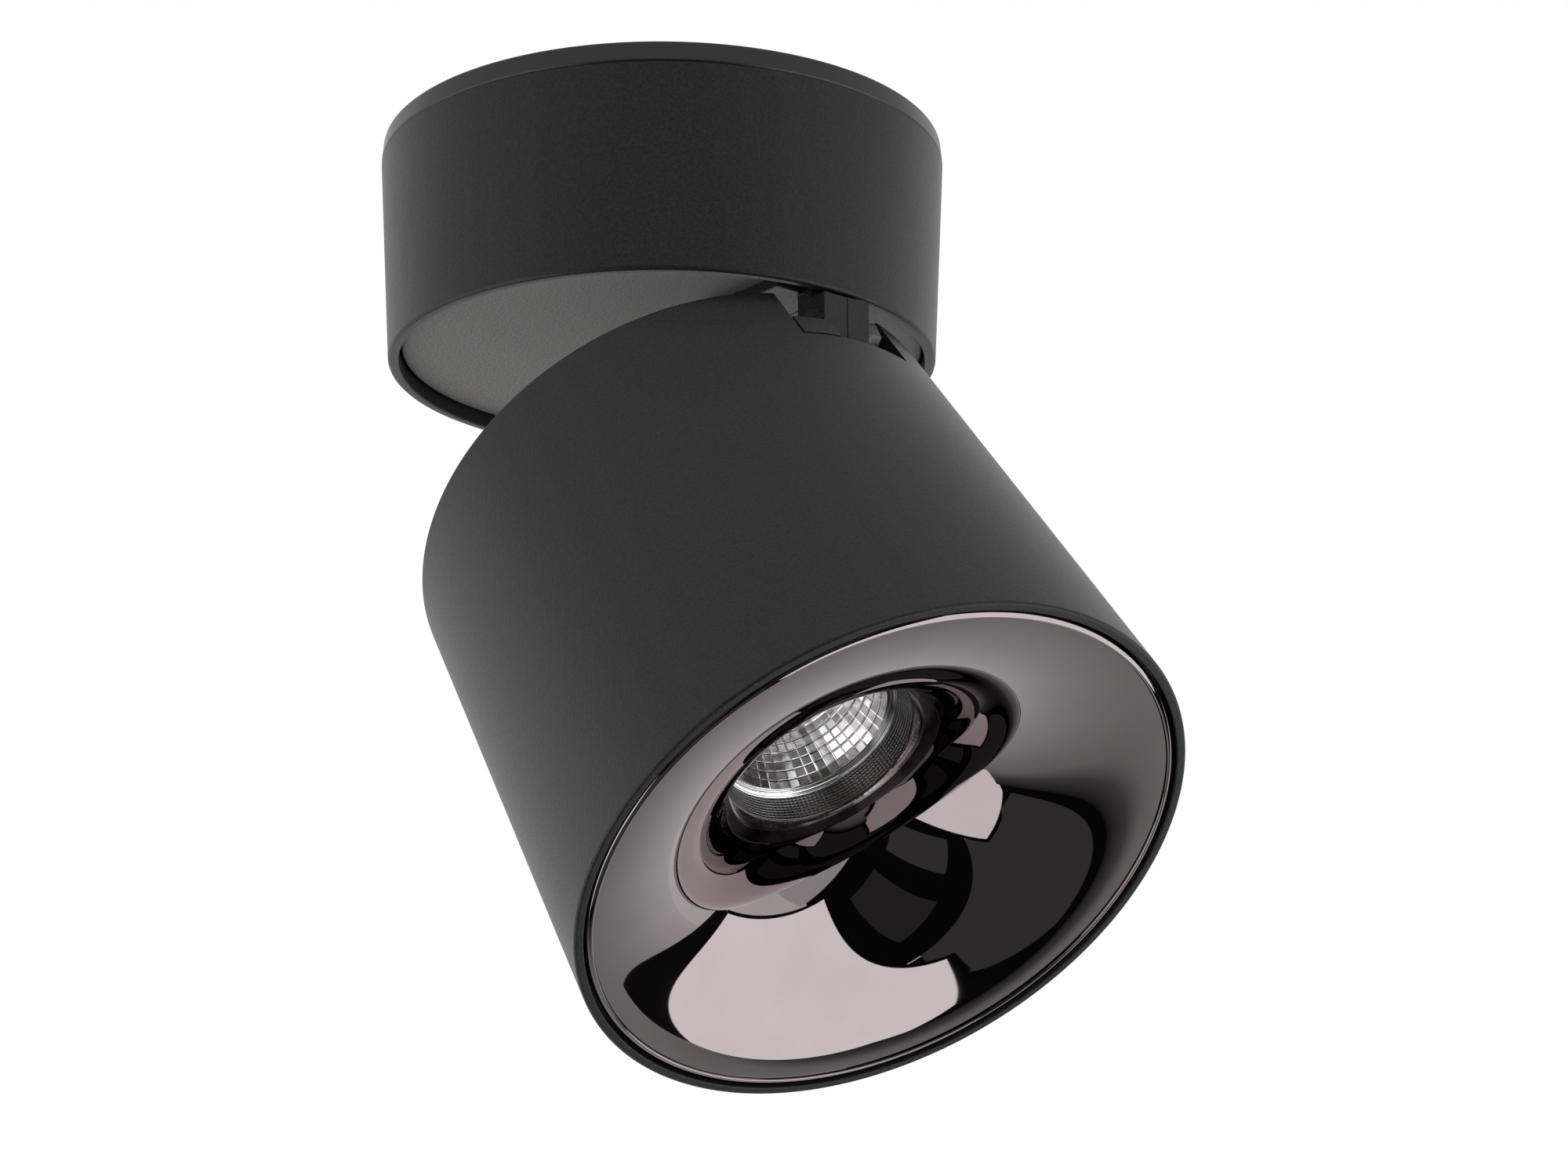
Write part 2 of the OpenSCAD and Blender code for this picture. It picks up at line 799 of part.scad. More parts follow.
// Hinge arm: the tongue between the cheeks, on a foot in the head's pocket
module hinge_arm() {
    back = pocket_x - arm_x;
    foot_z0 = pin_inset - pocket_d + arm_foot_gap;
    foot_half = pocket_w / 2 - arm_foot_side;
    color(black_paint)
        in_hinge()
            difference() {
                union() {
                    translate([0, tongue_mid + tongue_t / 2, 0])
                        rotate([90, 0, 0])
                            linear_extrude(height = tongue_t) {
                                circle(r = tongue_r);
                                translate([back, -tongue_r])
                                    square([-back, 2 * tongue_r]);
                            }
                    translate([back, -foot_half, foot_z0])
                        cube([foot_t, 2 * foot_half, knuckle_r - foot_z0]);
                    arm_leaf();
                }
                translate([0, seam_r, 0])
                    rotate([90, 0, 0])
                        cylinder(r = pin_r + run_gap, h = base_d);
                arm_screw_places()
                    translate([0, 0, -pocket_wall - arm_screw_bite])
                        cylinder(r = small_screw_r, h = arm_screw_bite + over);
            }
}

// Places of the arm's two screws, on the inner face of the pocket's wall
module arm_screw_places() {
    for (side = [-1, 1])
        translate([pocket_x - pocket_wall - arm_x, side * arm_screw_y, (pin_inset - pocket_d) / 2])
            rotate([0, -90, 0])
                children();
}

// Two pan head screws from inside the head into the arm's foot
module arm_screws() {
    color("#3a3b3d")
        in_hinge()
            arm_screw_places()
                pan_screw(small_screw_r, pocket_wall + arm_screw_bite, small_head_r, small_head_h);
}

// Outer form of the head casting, solid
module head_form() {
    revolve([[0, 0], [head_back_r - edge, 0], [head_back_r, edge],
        [head_front_r, head_len - edge], [head_front_r - edge, head_len], [0, head_len]]);
}

// Room inside the head casting, round which its pocket and bosses stand
module head_room() {
    seat_z = head_len - seat_d;
    difference() {
        revolve([[0, -over], [head_in_back_r, -over], [head_in_back_r, 0],
            [inner_r(seat_z), seat_z], [seat_r, seat_z], [seat_r, head_len + over],
            [0, head_len + over]]);
        translate([pocket_x - pocket_wall, -pocket_w / 2 - pocket_wall, -2 * over])
            cube([head_back_r, pocket_w + 2 * pocket_wall, pocket_d + pocket_wall + 2 * over]);
        around(boss_count, boss_first)
            translate([boss_circle_r, 0, cover_inset + cover_t]) {
                cylinder(r = boss_r, h = sink_z - cover_inset - cover_t);
                translate([0, -boss_r / 2, 0])
                    cube([boss_circle_r, boss_r, sink_z - cover_inset - cover_t]);
            }
    }
}

// Head casting: tapered shell, front seat, inner bosses and the hinge pocket
module head_housing() {
    color(black_paint)
        in_head()
            difference() {
                head_form();
                head_room();
                translate([pocket_x, -pocket_w / 2, -over])
                    cube([head_front_r, pocket_w, pocket_d + over]);
                around(boss_count, boss_first)
                    translate([boss_circle_r, 0, 0]) {
                        cylinder(r = pilot_r, h = cover_inset + cover_t + pilot_depth);
                        translate([0, 0, sink_z - pilot_depth])
                            cylinder(r = pilot_r, h = pilot_depth + over);
                    }
                rotate([180, 0, 0])
                    translate([arm_x, 0, -pin_inset])
                        arm_screw_places()
                            translate([0, 0, -pocket_wall - over])
                                cylinder(r = small_screw_r + boss_gap, h = pocket_wall + 2 * over);
            }
}

// Cover plate that closes the head's back, cut out round the hinge pocket
module rear_cover() {
    color(black_paint)
        in_head()
            difference() {
                translate([0, 0, cover_inset])
                    cylinder(r = head_in_back_r - fit_gap, h = cover_t);
                translate([pocket_x - pocket_wall - fit_gap, -pocket_w / 2 - pocket_wall - fit_gap, -over])
                    cube([head_back_r, pocket_w + 2 * (pocket_wall + fit_gap), cover_t + 2 * over + cover_inset]);
                translate([0, 0, -over])
                    cylinder(r = rear_hole_r, h = cover_t + cover_inset + 2 * over);
                around(boss_count, boss_first)
                    translate([boss_circle_r, 0, cover_inset])
                        rotate([180, 0, 0])
                            flat_screw_hole(small_screw_r, cover_t + over);
            }
}

// Rubber grommet where the lamp's lead enters the head
module rear_grommet() {
    z1 = cover_inset + cover_t;
    color("#2a2a2a")
        in_head()
            revolve([[rear_hole_r - grommet_wall, cover_inset - edge],
                [rear_hole_r + grommet_lip, cover_inset - edge],
                [rear_hole_r + grommet_lip, cover_inset],
                [rear_hole_r, cover_inset],
                [rear_hole_r, z1],
                [rear_hole_r + grommet_lip, z1],
                [rear_hole_r + grommet_lip, z1 + grommet_lip],
                [rear_hole_r - grommet_wall, z1 + grommet_lip]]);
}

// Three countersunk screws that hold the rear cover
module cover_screws() {
    color("#3a3b3d")
        in_head()
            around(boss_count, boss_first)
                translate([boss_circle_r, 0, cover_inset])
                    rotate([180, 0, 0])
                        flat_screw(small_screw_r, cover_t + pilot_depth / 2);
}

// Heat sink: the plate behind the light source, with straight fins to the rear
module heat_sink() {
    pitch = 2 * fin_reach / fin_count;
    r = inner_r(sink_z) - sink_gap;
    color("#a7a9ac")
        in_head()
            difference() {
                union() {
                    translate([0, 0, sink_z])
                        cylinder(r = r, h = sink_t);
                    intersection() {
                        translate([0, 0, fin_z])
                            cylinder(r = fin_reach, h = sink_z - fin_z + edge);
                        for (i = [0 : fin_count - 1])
                            translate([(i - (fin_count - 1) / 2) * pitch - fin_t / 2, -fin_reach, fin_z])
                                cube([fin_t, 2 * fin_reach, sink_z - fin_z + edge]);
                    }
                }
                around(boss_count, boss_first)
                    translate([boss_circle_r, 0, sink_z - over])
                        cylinder(r = small_screw_r + boss_gap, h = sink_t + 2 * over);
                translate([0, wire_hole_at, sink_z - over])
                    cylinder(r = wire_hole_r, h = sink_t + 2 * over);
                cob_screw_places()
                    translate([0, 0, -sink_t / 2])
                        cylinder(r = small_screw_r - boss_gap, h = sink_t);
            }
}

// Three pan head screws that hold the heat sink to the bosses
module sink_screws() {
    color("#b9babc")
        in_head()
            around(boss_count, boss_first)
                translate([boss_circle_r, 0, sink_z + sink_t])
                    pan_screw(small_screw_r, sink_t + pilot_depth / 2, small_head_r, small_head_h);
}

// Places of the light source's two screws, on the heat sink's front face
module cob_screw_places() {
    for (side = [-1, 1])
        translate([side * cob_screw_at, 0, sink_z + sink_t])
            children();
}

// Ceramic board of the light source
module cob_board() {
    color("#dcdcd8")
        in_head()
            translate([-cob_w / 2, -cob_w / 2, sink_z + sink_t])
                cube([cob_w, cob_w, cob_t]);
}

// Yellow phosphor disc on the board
module cob_phosphor() {
    color("#e3c53a")
        in_head()
            translate([0, 0, sink_z + sink_t + cob_t])
                cylinder(r = phosphor_r, h = phosphor_t);
}

// Holder that presses the board down and centres the silver reflector
module cob_holder() {
    z0 = sink_z + sink_t;
    color("#f0efe9")
        in_head()
            difference() {
                translate([0, 0, z0])
                    cylinder(r = holder_r, h = holder_h);
                translate([-cob_w / 2 - boss_gap, -cob_w / 2 - boss_gap, z0 - over])
                    cube([cob_w + 2 * boss_gap, cob_w + 2 * boss_gap, cob_t + over]);
                translate([0, 0, z0])
                    cylinder(r = cup_r + holder_lip, h = holder_h);
                translate([0, 0, cup_z0])
                    cylinder(r = cup_r + cup_wall + holder_mouth, h = holder_h);
                cob_screw_places()
                    translate([0, 0, -over])
                        cylinder(r = small_screw_r + boss_gap, h = holder_h + 2 * over);
            }
}

// Two pan head screws that hold the light source's holder
module cob_screws() {
    color("#b9babc")
        in_head()
            cob_screw_places()
                translate([0, 0, holder_h])
                    pan_screw(small_screw_r - boss_gap, holder_h + sink_t / 3, small_head_r, small_head_h);
}

// A ring whose inner wall is a curve of flat facets: radii at the bottom and the
// top, heights, the bow of the curve, wall, and the count of columns and rows
module faceted_ring(r0, r1, z0, z1, bow, wall, columns, rows) {
    function wall_r(t) = r0 + (r1 - r0) * (t + bow * t * (1 - t));
    step = 360 / columns;
    inner = [for (i = [0 : rows], j = [0 : columns - 1])
        [wall_r(i / rows) * cos(j * step), wall_r(i / rows) * sin(j * step), z0 + (z1 - z0) * i / rows]];
    outer = [for (i = [0 : rows], j = [0 : columns - 1])
        [(wall_r(i / rows) + wall) * cos(j * step), (wall_r(i / rows) + wall) * sin(j * step),
            z0 + (z1 - z0) * i / rows]];
    count = len(inner);
    function next(j) = (j + 1) % columns;
    polyhedron(points = concat(inner, outer), faces = concat(
        [for (i = [0 : rows - 1], j = [0 : columns - 1])
            [i * columns + next(j), i * columns + j, (i + 1) * columns + j, (i + 1) * columns + next(j)]],
        [for (i = [0 : rows - 1], j = [0 : columns - 1])
            [count + i * columns + j, count + i * columns + next(j),
                count + (i + 1) * columns + next(j), count + (i + 1) * columns + j]],
        [for (j = [0 : columns - 1])
            [j, next(j), count + next(j), count + j]],
        [for (j = [0 : columns - 1])
            [rows * columns + next(j), rows * columns + j,
                count + rows * columns + j, count + rows * columns + next(j)]]));
}

// Silver cup of square facets that gathers the light
module silver_reflector() {
    color("#e9eaec")
        in_head()
            faceted_ring(cup_r, mouth_r, cup_z0, head_len - mouth_s, cup_bow, cup_wall,
                facet_columns, facet_rows);
}

// Dark faceted ring between the silver cup and the trumpet's throat
module baffle_ring() {
    color("#3b3638")
        in_head()
            faceted_ring(mouth_r, throat_r, head_len - mouth_s, head_len - throat_s, 0, baffle_wall,
                facet_columns * 3 / 2, baffle_rows);
}

// Trumpet insert in black chrome: bead, groove, and one round curve to the throat
module reflector_insert() {
    color("#5b5054")
        in_head()
            translate([0, 0, head_len])
                mirror([0, 0, 1])
                    rotate_extrude() {
                        intersection() {
                            difference() {
                                translate([curve_r, curve_s])
                                    circle(r = trumpet_r);
                                translate([curve_r, curve_s])
                                    circle(r = trumpet_r - trumpet_wall);
                            }
                            square([lip_r, throat_s]);
                        }
                        translate([insert_r - bead_r, bead_s + bead_r])
                            circle(r = bead_r);
                        translate([insert_r - 2 * bead_r - 2 * groove_w, groove_s])
                            square([2 * bead_r + 2 * groove_w, seat_d - groove_s]);
                        difference() {
                            translate([land_in_r, groove_s])
                                square([lip_r - land_in_r, land_s - groove_s]);
                            difference() {
                                translate([land_in_r - over, -over])
                                    square([insert_r - land_in_r + over, curve_s]);
                                translate([curve_r, curve_s])
                                    circle(r = trumpet_r);
                            }
                        }
                    }
}

// Three leaf springs behind the insert that grip the head's inner wall
module insert_springs() {
    s0 = land_s;
    s1 = s0 + spring_leg;
    t = spring_strip_t;
    grip_s = s0 + spring_leg * grip_share;
    foot_r = curve_r - sqrt(pow(trumpet_r - trumpet_wall, 2) - pow(curve_s - s0, 2)) + spring_foot_gap;
    leg_r = inner_r(head_len - s0) - edge * 2;
    grip_r = inner_r(head_len - grip_s) - boss_gap;
    tip_r = grip_r - spring_tip;
    color("#c9cacc")
        in_head()
            translate([0, 0, head_len])
                mirror([0, 0, 1])
                    around(spring_count, spring_first)
                        rotate_extrude(angle = spring_angle)
                            polygon([[foot_r, s0], [leg_r, s0], [grip_r, grip_s], [tip_r, s1],
                                [tip_r - t, s1], [grip_r - t, grip_s], [leg_r - t, s0 + t], [foot_r, s0 + t]]);
}

mounting_plate();
cable_grommet();
terminal_block();
terminal_clamps();
driver_case();
driver_board();
driver_lid();
plate_screws();
base_housing();
lock_screw();
friction_ring();
swivel_disc();
pivot_stem();
spring_washer();
stop_washer();
stem_nut();
hinge_bracket();
hinge_cheek();
bracket_screws();
hinge_pin();
pin_washer();
pin_nut();
hinge_arm();
arm_screws();
head_housing();
rear_cover();
rear_grommet();
cover_screws();
heat_sink();
sink_screws();
cob_board();
cob_phosphor();
cob_holder();
cob_screws();
silver_reflector();
baffle_ring();
reflector_insert();
insert_springs();
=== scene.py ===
"""Looks of a surface mounted ceiling spotlight with a hinged lamp head.

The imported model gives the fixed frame. The pieces that show are modelled again
with rounded edges and fine surfaces, every other node gets a finish of its own,
and a plain white studio lights them.
"""

import logging
import math
from dataclasses import dataclass
from enum import Enum

import bpy
from mathutils import Matrix, Vector


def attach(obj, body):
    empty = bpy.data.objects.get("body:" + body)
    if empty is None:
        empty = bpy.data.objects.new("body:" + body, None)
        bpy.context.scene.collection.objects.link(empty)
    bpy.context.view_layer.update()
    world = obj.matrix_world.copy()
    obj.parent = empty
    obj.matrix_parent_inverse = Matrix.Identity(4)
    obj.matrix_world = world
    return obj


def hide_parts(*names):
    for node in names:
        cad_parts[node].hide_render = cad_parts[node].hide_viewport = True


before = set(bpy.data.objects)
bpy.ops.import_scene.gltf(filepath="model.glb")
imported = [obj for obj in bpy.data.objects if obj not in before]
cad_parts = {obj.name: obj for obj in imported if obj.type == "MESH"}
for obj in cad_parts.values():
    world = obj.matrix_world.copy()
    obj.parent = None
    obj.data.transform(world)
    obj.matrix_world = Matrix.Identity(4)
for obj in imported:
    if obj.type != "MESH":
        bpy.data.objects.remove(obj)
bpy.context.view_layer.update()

MM = 0.001
LOG = logging.getLogger("spotlight")

# Points closer than this are one point
WELD = 0.002 * MM
# How far a cutting tool stands out of a piece, in millimetres
OVERRUN = 1.0
# The range that most of a noise pattern's values lie in
PATTERN_LOW, PATTERN_HIGH = 0.3, 0.7

Point = tuple[float, float]
Spot = tuple[float, float, float]
Piece = bpy.types.Object
Socket = bpy.types.NodeSocket


class Carve(Enum):
    """What a boolean tool does to a piece."""

    CUT = "DIFFERENCE"
    JOIN = "UNION"
    KEEP = "INTERSECT"


class Steps(Enum):
    """Segments round a turned piece."""

    SMALL = 96
    TOOL = 128
    RING = 192
    CASTING = 256
    MIRROR = 320


class Tone(Enum):
    """Linear base colours of the product's materials."""

    POWDER_BLACK = (0.0088, 0.0088, 0.0089)
    DISC_GREY = (0.126, 0.123, 0.119)
    PLATE_BLACK = (0.008, 0.008, 0.0082)
    BLACK_CHROME = (0.312, 0.27, 0.279)
    SILVER = (0.94, 0.94, 0.94)
    # Smoke tint of the band's metal film, made darker still as painted shade, so that its facets look as
    # dark as where they face black
    SMOKE = (0.18, 0.176, 0.175)
    STEEL = (0.56, 0.56, 0.57)
    DARK_STEEL = (0.09, 0.09, 0.095)
    ALUMINIUM = (0.72, 0.72, 0.73)
    BRASS = (0.68, 0.48, 0.20)
    WHITE_PLASTIC = (0.78, 0.77, 0.73)
    NYLON = (0.74, 0.71, 0.62)
    RUBBER = (0.020, 0.020, 0.020)
    SOLDER_MASK = (0.02, 0.14, 0.05)
    CERAMIC = (0.74, 0.74, 0.72)
    PHOSPHOR = (0.78, 0.56, 0.09)


class Shading:
    """A node material under construction, read on Object coordinates."""

    def __init__(self, name: str, tone: Tone, metallic: float, roughness: float, gloss: float = 0.5) -> None:
        """Starts a Principled material.

        Args:
            name: The material's name.
            tone: Its base colour.
            metallic: 1 for bare metal and metal film, 0 otherwise.
            roughness: The surface's mean roughness.
            gloss: How strongly a surface that isn't metal reflects straight on.
        """
        self.material = bpy.data.materials.new(name)
        self.material.use_nodes = True
        self.tree = self.material.node_tree
        self.shader = self.tree.nodes["Principled BSDF"]
        self.tone = tone
        self.roughness = roughness
        self.shader.inputs["Base Color"].default_value = (*tone.value, 1.0)
        self.shader.inputs["Metallic"].default_value = metallic
        self.shader.inputs["Roughness"].default_value = roughness
        self.shader.inputs["Specular IOR Level"].default_value = gloss
        self.coords = self.tree.nodes.new("ShaderNodeTexCoord").outputs["Object"]

    def noise(self, size_mm: float, detail: float) -> Socket:
        """Adds a noise pattern.

        Args:
            size_mm: Size of its blotches.
            detail: Octaves of finer noise on top.

        Returns:
            The pattern's value socket.
        """
        node = self.tree.nodes.new("ShaderNodeTexNoise")
        node.inputs["Scale"].default_value = 1.0 / (size_mm * MM)
        node.inputs["Detail"].default_value = detail
        self.tree.links.new(self.coords, node.inputs["Vector"])
        return node.outputs["Fac"]

    def cells(self, size_mm: float) -> Socket:
        """Adds a pattern of round grains of that size and returns its distance socket."""
        node = self.tree.nodes.new("ShaderNodeTexVoronoi")
        node.inputs["Scale"].default_value = 1.0 / (size_mm * MM)
        self.tree.links.new(self.coords, node.inputs["Vector"])
        return node.outputs["Distance"]

    def spread(self, value: Socket, low: float, high: float) -> Socket:
        """Maps a pattern's middle range onto a range of values.

        Args:
            value: The pattern's socket.
            low: Value where the pattern is low.
            high: Value where it is high.

        Returns:
            The mapped socket.
        """
        node = self.tree.nodes.new("ShaderNodeMapRange")
        node.inputs["From Min"].default_value = PATTERN_LOW
        node.inputs["From Max"].default_value = PATTERN_HIGH
        node.inputs["To Min"].default_value = low
        node.inputs["To Max"].default_value = high
        self.tree.links.new(value, node.inputs["Value"])
        return node.outputs["Result"]

    def vary_colour(self, value: Socket, darker: float, lighter: float) -> None:
        """Lets the base colour wander between two shares of itself along a pattern."""
        ramp = self.tree.nodes.new("ShaderNodeValToRGB")
        ramp.color_ramp.elements[0].position = PATTERN_LOW
        ramp.color_ramp.elements[1].position = PATTERN_HIGH
        for element, share in zip(ramp.color_ramp.elements, (darker, lighter)):
            element.color = (*(channel * share for channel in self.tone.value), 1.0)
        self.tree.links.new(value, ramp.inputs["Fac"])
        self.tree.links.new(ramp.outputs["Color"], self.shader.inputs["Base Color"])

    def vary_roughness(self, value: Socket, swing: float) -> None:
        """Lets the roughness wander by a swing to each side along a pattern."""
        spread = self.spread(value, self.roughness - swing, self.roughness + swing)
        self.tree.links.new(spread, self.shader.inputs["Roughness"])

    def emboss(self, *layers: tuple[Socket, float]) -> None:
        """Raises one or more patterns on the surface.

        Args:
            layers: Pairs of a pattern's socket and its height in millimetres.
        """
        previous = None
        for value, height_mm in layers:
            bump = self.tree.nodes.new("ShaderNodeBump")
            bump.inputs["Strength"].default_value = 1.0
            bump.inputs["Distance"].default_value = height_mm * MM
            self.tree.links.new(value, bump.inputs["Height"])
            if previous is not None:
                self.tree.links.new(previous, bump.inputs["Normal"])
            previous = bump.outputs["Normal"]
        self.tree.links.new(previous, self.shader.inputs["Normal"])


@dataclass(frozen=True)
class PowderCoat:
    """Baked powder on a casting: a fine grain with finer specks on it.

    Attributes:
        name: The material's name.
        tone: Its colour.
        grain_mm: Size of the grain.
        grain_height_mm: Height of the grain.
        roughness: Mean roughness.
        contrast: How far the colour wanders.
        gloss: How strongly it reflects straight on.
        swing: How far the roughness wanders.
        speck_share: Size of the specks, as a share of the grain's.
        speck_rise_share: Height of the specks, as a share of the grain's.
    """

    name: str
    tone: Tone
    grain_mm: float = 0.42
    grain_height_mm: float = 0.045
    roughness: float = 0.42
    contrast: float = 0.45
    gloss: float = 0.33
    swing: float = 0.06
    speck_share: float = 0.45
    speck_rise_share: float = 0.4

    def build(self) -> bpy.types.Material:
        """Returns the finished material."""
        shading = Shading(self.name, self.tone, 0.0, self.roughness, self.gloss)
        grain = shading.noise(self.grain_mm, detail=3.0)
        speck = shading.noise(self.grain_mm * self.speck_share, detail=1.0)
        shading.vary_colour(grain, 1 - self.contrast, 1 + self.contrast)
        shading.vary_roughness(speck, self.swing)
        shading.emboss((grain, self.grain_height_mm), (speck, self.grain_height_mm * self.speck_rise_share))
        return shading.material


@dataclass(frozen=True)
class Moulding:
    """Moulded plastic or rubber with a faint skin texture.

    Attributes:
        name: The material's name.
        tone: Its colour.
        roughness: Mean roughness.
        skin_mm: Size of the skin's texture.
        skin_height_mm: Height of the skin's texture.
        cloud_mm: Size of the faint clouds in it.
        contrast: How far the colour wanders.
        swing: How far the roughness wanders.
    """

    name: str
    tone: Tone
    roughness: float = 0.4
    skin_mm: float = 0.6
    skin_height_mm: float = 0.004
    cloud_mm: float = 12.0
    contrast: float = 0.07
    swing: float = 0.04

    def build(self) -> bpy.types.Material:
        """Returns the finished material."""
        shading = Shading(self.name, self.tone, 0.0, self.roughness)
        skin = shading.noise(self.skin_mm, detail=2.0)
        cloud = shading.noise(self.cloud_mm, detail=1.0)
        shading.vary_colour(cloud, 1 - self.contrast, 1 + self.contrast)
        shading.vary_roughness(cloud, self.swing)
        shading.emboss((skin, self.skin_height_mm))
        return shading.material


@dataclass(frozen=True)
class MetalFilm:
    """Vacuum metallised plastic: a mirror with the faintest haze.

    Attributes:
        name: The material's name.
        tone: Its reflection's tint.
        roughness: Mean roughness.
        haze: How far the roughness wanders.
        cloud_mm: Size of the faint clouds in it.
        contrast: How far the tint wanders.
    """

    name: str
    tone: Tone
    roughness: float = 0.03
    haze: float = 0.01
    cloud_mm: float = 9.0
    contrast: float = 0.03

    def build(self) -> bpy.types.Material:
        """Returns the finished material."""
        shading = Shading(self.name, self.tone, 1.0, self.roughness)
        cloud = shading.noise(self.cloud_mm, detail=3.0)
        shading.vary_colour(cloud, 1 - self.contrast, 1 + self.contrast)
        shading.vary_roughness(cloud, self.haze)
        return shading.material


@dataclass(frozen=True)
class PlainMetal:
    """Plated, cast or turned metal.

    Attributes:
        name: The material's name.
        tone: Its colour.
        roughness: Mean roughness.
        grain_mm: Size of its grain.
        grain_height_mm: Height of its grain.
        darker: Brightness where the grain is low, as a share of the colour.
        lighter: Brightness where the grain is high.
        swing: How far the roughness wanders.
    """

    name: str
    tone: Tone
    roughness: float = 0.3
    grain_mm: float = 0.5
    grain_height_mm: float = 0.004
    darker: float = 0.9
    lighter: float = 1.08
    swing: float = 0.08

    def build(self) -> bpy.types.Material:
        """Returns the finished material."""
        shading = Shading(self.name, self.tone, 1.0, self.roughness)
        grain = shading.noise(self.grain_mm, detail=3.0)
        shading.vary_colour(grain, self.darker, self.lighter)
        shading.vary_roughness(grain, self.swing)
        shading.emboss((grain, self.grain_height_mm))
        return shading.material


@dataclass(frozen=True)
class CircuitBoard:
    """Green solder mask over copper tracks.

    Attributes:
        name: The material's name.
        roughness: Mean roughness.
        track_mm: Distance between tracks.
        track_height_mm: Height of the tracks.
        darker: Brightness between the tracks, as a share of the colour.
        lighter: Brightness on the tracks.
    """

    name: str = "circuit board"
    roughness: float = 0.3
    track_mm: float = 2.4
    track_height_mm: float = 0.01
    darker: float = 0.7
    lighter: float = 1.5

    def build(self) -> bpy.types.Material:
        """Returns the finished material."""
        shading = Shading(self.name, Tone.SOLDER_MASK, 0.0, self.roughness)
        tracks = shading.cells(self.track_mm)
        shading.vary_colour(tracks, self.darker, self.lighter)
        shading.emboss((tracks, self.track_height_mm))
        return shading.material


class FinishBook:
    """Every finish of the product, built once and handed out by name."""

    def __init__(self) -> None:
        """Builds all the finishes."""
        recipes = {
            "powder": PowderCoat("black powder coat", Tone.POWDER_BLACK),
            "disc": PowderCoat("grainy disc coat", Tone.DISC_GREY, grain_mm=0.36, roughness=0.6,
                               contrast=0.5, gloss=0.5),
            "plate": Moulding("satin plate plastic", Tone.PLATE_BLACK, roughness=0.34),
            "mirror": MetalFilm("black chrome film", Tone.BLACK_CHROME, roughness=0.025, haze=0.008),
            "silver": MetalFilm("silver film", Tone.SILVER, roughness=0.10, haze=0.02),
            # The band's film: a smoke tint with painted shade darkening it further
            "smoke_and_painted_shade": MetalFilm("smoke film with painted shade", Tone.SMOKE, roughness=0.14, haze=0.03),
            "steel": PlainMetal("zinc plated steel", Tone.STEEL, roughness=0.32),
            "dark_steel": PlainMetal("black oxide steel", Tone.DARK_STEEL, roughness=0.38),
            "aluminium": PlainMetal("bare cast aluminium", Tone.ALUMINIUM, roughness=0.42, grain_mm=0.9),
            "brass": PlainMetal("plain brass", Tone.BRASS, roughness=0.25),
            "white": Moulding("white moulded plastic", Tone.WHITE_PLASTIC, roughness=0.45),
            "nylon": Moulding("natural nylon", Tone.NYLON, roughness=0.38),
            "rubber": Moulding("black rubber", Tone.RUBBER, roughness=0.7, skin_mm=0.9, cloud_mm=18.0),
            "board": CircuitBoard(),
            "ceramic": Moulding("white ceramic", Tone.CERAMIC, roughness=0.35),
            "phosphor": Moulding("silicone phosphor", Tone.PHOSPHOR, roughness=0.5),
        }
        self.materials = {key: recipe.build() for key, recipe in recipes.items()}

    def dress(self, piece: Piece, finish: str) -> None:
        """Gives a piece one finish all over.

        Args:
            piece: The piece or CAD node.
            finish: The finish's key.
        """
        piece.data.materials.clear()
        piece.data.materials.append(self.materials[finish])
        for face in piece.data.polygons:
            face.material_index = 0


class Outline:
    """The closed section of a turned piece, as radii and heights in millimetres."""

    def __init__(self, *corners: Point) -> None:
        """Starts an outline with any number of sharp corners."""
        self.points: list[Point] = list(corners)

    def corner(self, radius: float, height: float) -> "Outline":
        """Adds a sharp corner and returns the outline."""
        self.points.append((radius, height))
        return self

    def arc(self, centre: Point, size: float, start: float, end: float, count: int) -> "Outline":
        """Adds an arc.

        Args:
            centre: Its centre.
            size: Its radius.
            start: Its first angle in degrees, from the outward direction.
            end: Its last angle in degrees.
            count: How many steps it has.

        Returns:
            The outline.
        """
        for i in range(count + 1):
            angle = math.radians(start + (end - start) * i / count)
            self.points.append((centre[0] + size * math.cos(angle), centre[1] + size * math.sin(angle)))
        return self

    def rounded(self, sizes: dict[int, float], count: int = 5) -> list[Point]:
        """Rounds some of the corners.

        Args:
            sizes: Rounding radius by the corner's place in the outline.
            count: Steps in each rounding.

        Returns:
            The closed loop of points.
        """
        loop: list[Point] = []
        total = len(self.points)
        for i, here in enumerate(self.points):
            size = sizes.get(i, 0.0)
            if size <= 0:
                loop.append(here)
                continue
            corner = Vector(here)
            before = (Vector(self.points[i - 1]) - corner).normalized()
            after = (Vector(self.points[(i + 1) % total]) - corner).normalized()
            half = before.angle(after) / 2
            reach = size / math.tan(half)
            centre = corner + (before + after).normalized() * (size / math.sin(half))
            first = corner + before * reach - centre
            last = corner + after * reach - centre
            turn = first.angle_signed(last)
            for k in range(count + 1):
                spot = centre + Matrix.Rotation(-turn * k / count, 2) @ first
                loop.append((spot.x, spot.y))
        return loop


